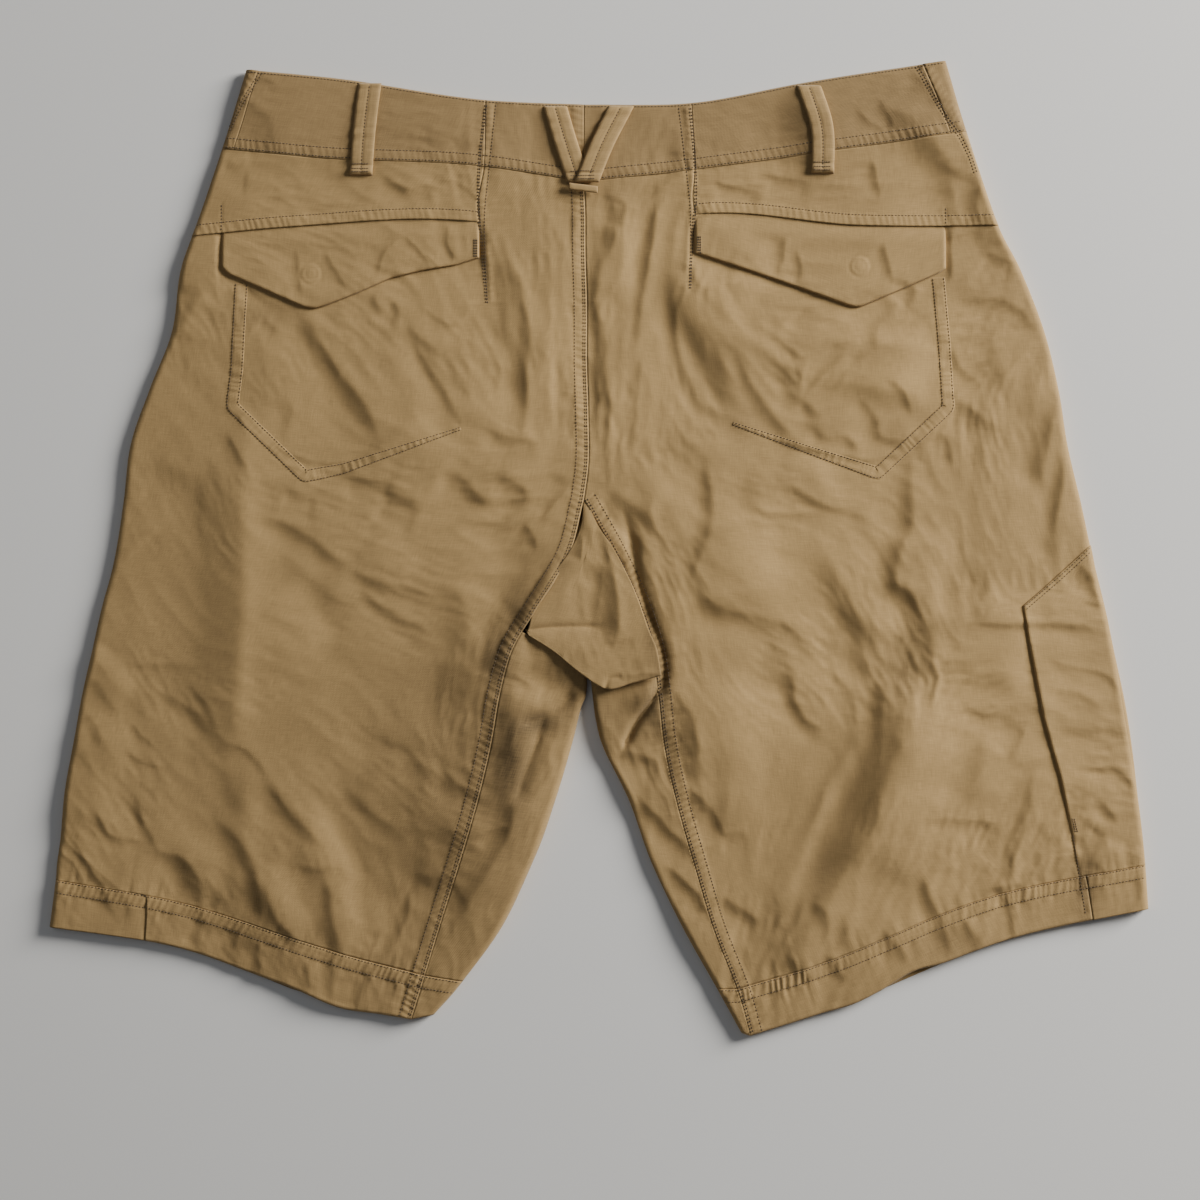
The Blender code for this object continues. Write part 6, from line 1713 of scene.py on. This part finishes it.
def stage(sizes, colours):
    """Pale floor, soft light from the upper right with fill from above, and a camera straight overhead."""
    mesh = bpy.data.meshes.new("floor")
    corners = [(x * FLOOR_REACH, y * FLOOR_REACH, FLOOR_HEIGHT)
               for x, y in ((-1, -1), (1, -1), (1, 1), (-1, 1))]
    mesh.from_pydata(corners, [], [(0, 1, 2, 3)])
    paint, _ = principled("pale_floor", Base_Color=colours.floor, Roughness=0.9, Specular_IOR_Level=0.1)
    mesh.materials.append(paint)
    floor = placed("floor", mesh)
    for name, turn, rise, distance, size, power, tint in LIGHTS:
        turn, rise = np.radians((turn, rise))
        place = distance * Vector((np.sin(turn) * np.cos(rise), np.cos(turn) * np.cos(rise), np.sin(rise)))
        light = bpy.data.lights.new(name, "AREA")
        light.shape = "DISK"
        light.size = size
        light.energy = power
        light.color = tint
        lamp = placed(name, light, place)
        lamp.rotation_euler = (-place).to_track_quat("-Z", "Y").to_euler()
    world = bpy.data.worlds.new("studio")
    world.use_nodes = True
    background = world.node_tree.nodes["Background"].inputs
    background["Color"].default_value = (0.93, 0.95, 1.0, 1.0)
    background["Strength"].default_value = 0.1
    bpy.context.scene.world = world
    view = bpy.data.cameras.new("overhead")
    view.lens = sizes.lens
    view.sensor_width = 36.0
    view.clip_start, view.clip_end = 0.05, 20.0
    above = sizes.frame_width * view.lens / view.sensor_width
    bpy.context.scene.camera = placed("overhead", view, (*FRAME_MIDDLE, above))


def placed(name, data, place=(0, 0, 0)):
    """A new object at a place, in the shorts' collection."""
    item = bpy.data.objects.new(name, data)
    item.location = place
    PIECES.objects.link(item)
    return item


# ---------------------------------------------------------------- add-on
def millimetres(name, description, value):
    return FloatProperty(name=name, description=description, default=value * MM, unit="LENGTH", precision=5)


def factor(name, description, value):
    return FloatProperty(name=name, description=description, default=value, min=0.0, max=3.0,
                         subtype="FACTOR")


def colour(name, description, value):
    return FloatVectorProperty(name=name, description=description, default=value + (1.0,), size=4,
                               subtype="COLOR", min=0.0, max=1.0)


class ShortsSizes(bpy.types.PropertyGroup):
    cell: millimetres("Grid cell", "Length of a cell on the shown side of the large panels", 1.3)
    cloth: millimetres("Cloth", "Wall of one layer of cloth", 1.2)
    doubled: millimetres("Doubled cloth", "Wall where the cloth is doubled", 1.7)
    crumple: millimetres("Crumple", "Height of the fine creases", 0.4)
    folds: factor("Folds", "Share of the folds' height", 1.0)
    pucker: factor("Puckers", "Strength of the puckers and gathers at the seams", 1.0)
    stitch_pitch: millimetres("Stitch pitch", "Distance from one stitch to the next", 2.2)
    stitch_length: millimetres("Stitch length", "Length of one stitch", 1.6)
    thread: millimetres("Thread", "Thickness of the sewing thread", 0.55)
    weave: millimetres("Weave", "Distance from one woven thread to the next", 0.5)
    lens: FloatProperty(name="Lens", description="Focal length of the camera in millimetres", default=85.0)
    frame_width: FloatProperty(name="Frame width", description="Width of the view at the floor",
                               default=0.7944, unit="LENGTH")


class ShortsColours(bpy.types.PropertyGroup):
    upper: colour("Canvas", "Khaki of the upper layer", (0.38, 0.25, 0.105))
    band: colour("Waistband", "Khaki of the waistband", (0.315, 0.207, 0.089))
    under: colour("Under layer", "Khaki of the under layer", (0.35, 0.23, 0.1))
    loop: colour("Loops", "Khaki of the belt loops", (0.4, 0.265, 0.115))
    thread: colour("Thread", "Sewing thread", (0.085, 0.057, 0.03))
    floor: colour("Floor", "Plain pale floor", (0.78, 0.78, 0.77))


class SHORTS_OT_back_panels(bpy.types.Operator):
    """Make the two back panels"""
    bl_idname = "shorts.back_panels"
    bl_label = "Back panels"

    def execute(self, context):
        back_panels(context.scene.shorts_sizes)
        return {"FINISHED"}


class SHORTS_OT_yokes(bpy.types.Operator):
    """Make the two yokes"""
    bl_idname = "shorts.yokes"
    bl_label = "Yokes"

    def execute(self, context):
        yokes(context.scene.shorts_sizes)
        return {"FINISHED"}


class SHORTS_OT_waistband(bpy.types.Operator):
    """Make the pieces of the waistband"""
    bl_idname = "shorts.waistband"
    bl_label = "Waistband"

    def execute(self, context):
        waistband(context.scene.shorts_sizes)
        return {"FINISHED"}


class SHORTS_OT_hems(bpy.types.Operator):
    """Make the hem bands of both legs"""
    bl_idname = "shorts.hems"
    bl_label = "Hems"

    def execute(self, context):
        hems(context.scene.shorts_sizes)
        return {"FINISHED"}


class SHORTS_OT_gusset(bpy.types.Operator):
    """Make the gusset's strips and its centre"""
    bl_idname = "shorts.gusset"
    bl_label = "Gusset"

    def execute(self, context):
        gussets(context.scene.shorts_sizes)
        return {"FINISHED"}


class SHORTS_OT_back_pockets(bpy.types.Operator):
    """Make the pocket edges and their flaps"""
    bl_idname = "shorts.back_pockets"
    bl_label = "Back pockets and flaps"

    def execute(self, context):
        back_pockets()
        flaps(context.scene.shorts_sizes)
        return {"FINISHED"}


class SHORTS_OT_belt_loops(bpy.types.Operator):
    """Make the belt loops"""
    bl_idname = "shorts.belt_loops"
    bl_label = "Belt loops"

    def execute(self, context):
        belt_loops(context.scene.shorts_sizes)
        return {"FINISHED"}


class SHORTS_OT_cargo_pocket(bpy.types.Operator):
    """Make the cargo pocket on the right leg"""
    bl_idname = "shorts.cargo_pocket"
    bl_label = "Cargo pocket"

    def execute(self, context):
        cargo_pocket()
        return {"FINISHED"}


class SHORTS_OT_under_layer(bpy.types.Operator):
    """Make the front panels, fly placket and left cargo pocket below"""
    bl_idname = "shorts.under_layer"
    bl_label = "Under layer"

    def execute(self, context):
        under_layer()
        return {"FINISHED"}


class SHORTS_OT_stitching(bpy.types.Operator):
    """Sew the rows of stitches"""
    bl_idname = "shorts.stitching"
    bl_label = "Stitching"

    def execute(self, context):
        stitching(context.scene.shorts_sizes)
        return {"FINISHED"}


class SHORTS_OT_stage(bpy.types.Operator):
    """Set up the floor, the light and the camera"""
    bl_idname = "shorts.stage"
    bl_label = "Stage"

    def execute(self, context):
        stage(context.scene.shorts_sizes, context.scene.shorts_colours)
        return {"FINISHED"}


class SHORTS_PT_panel(bpy.types.Panel):
    """Sizes, colours and operators of the shorts"""
    bl_idname = "SHORTS_PT_panel"
    bl_label = "Cargo shorts"
    bl_space_type = "VIEW_3D"
    bl_region_type = "UI"
    bl_category = "Shorts"

    def draw(self, context):
        column = self.layout.column()
        for group_of in (context.scene.shorts_sizes, context.scene.shorts_colours):
            for name in group_of.bl_rna.properties.keys():
                if name not in ("rna_type", "name"):
                    column.prop(group_of, name)
        for operator in OPERATORS:
            column.operator(operator.bl_idname)


OPERATORS = (SHORTS_OT_back_panels, SHORTS_OT_yokes, SHORTS_OT_waistband, SHORTS_OT_hems, SHORTS_OT_gusset,
             SHORTS_OT_back_pockets, SHORTS_OT_belt_loops, SHORTS_OT_cargo_pocket, SHORTS_OT_under_layer,
             SHORTS_OT_stitching, SHORTS_OT_stage)
CLASSES = (ShortsSizes, ShortsColours) + OPERATORS + (SHORTS_PT_panel,)


def register():
    for item in CLASSES:
        bpy.utils.register_class(item)
    bpy.types.Scene.shorts_sizes = PointerProperty(type=ShortsSizes)
    bpy.types.Scene.shorts_colours = PointerProperty(type=ShortsColours)


def unregister():
    del bpy.types.Scene.shorts_sizes
    del bpy.types.Scene.shorts_colours
    for item in reversed(CLASSES):
        bpy.utils.unregister_class(item)


WITH = {}                  # piece: the stitching on it
PIECES = bpy.data.collections.new("shorts_pieces")


def main():
    register()
    bpy.context.scene.collection.children.link(PIECES)
    for operator in OPERATORS:
        getattr(bpy.ops.shorts, operator.bl_idname.split(".")[1])()


if __name__ == "__main__":
    main()
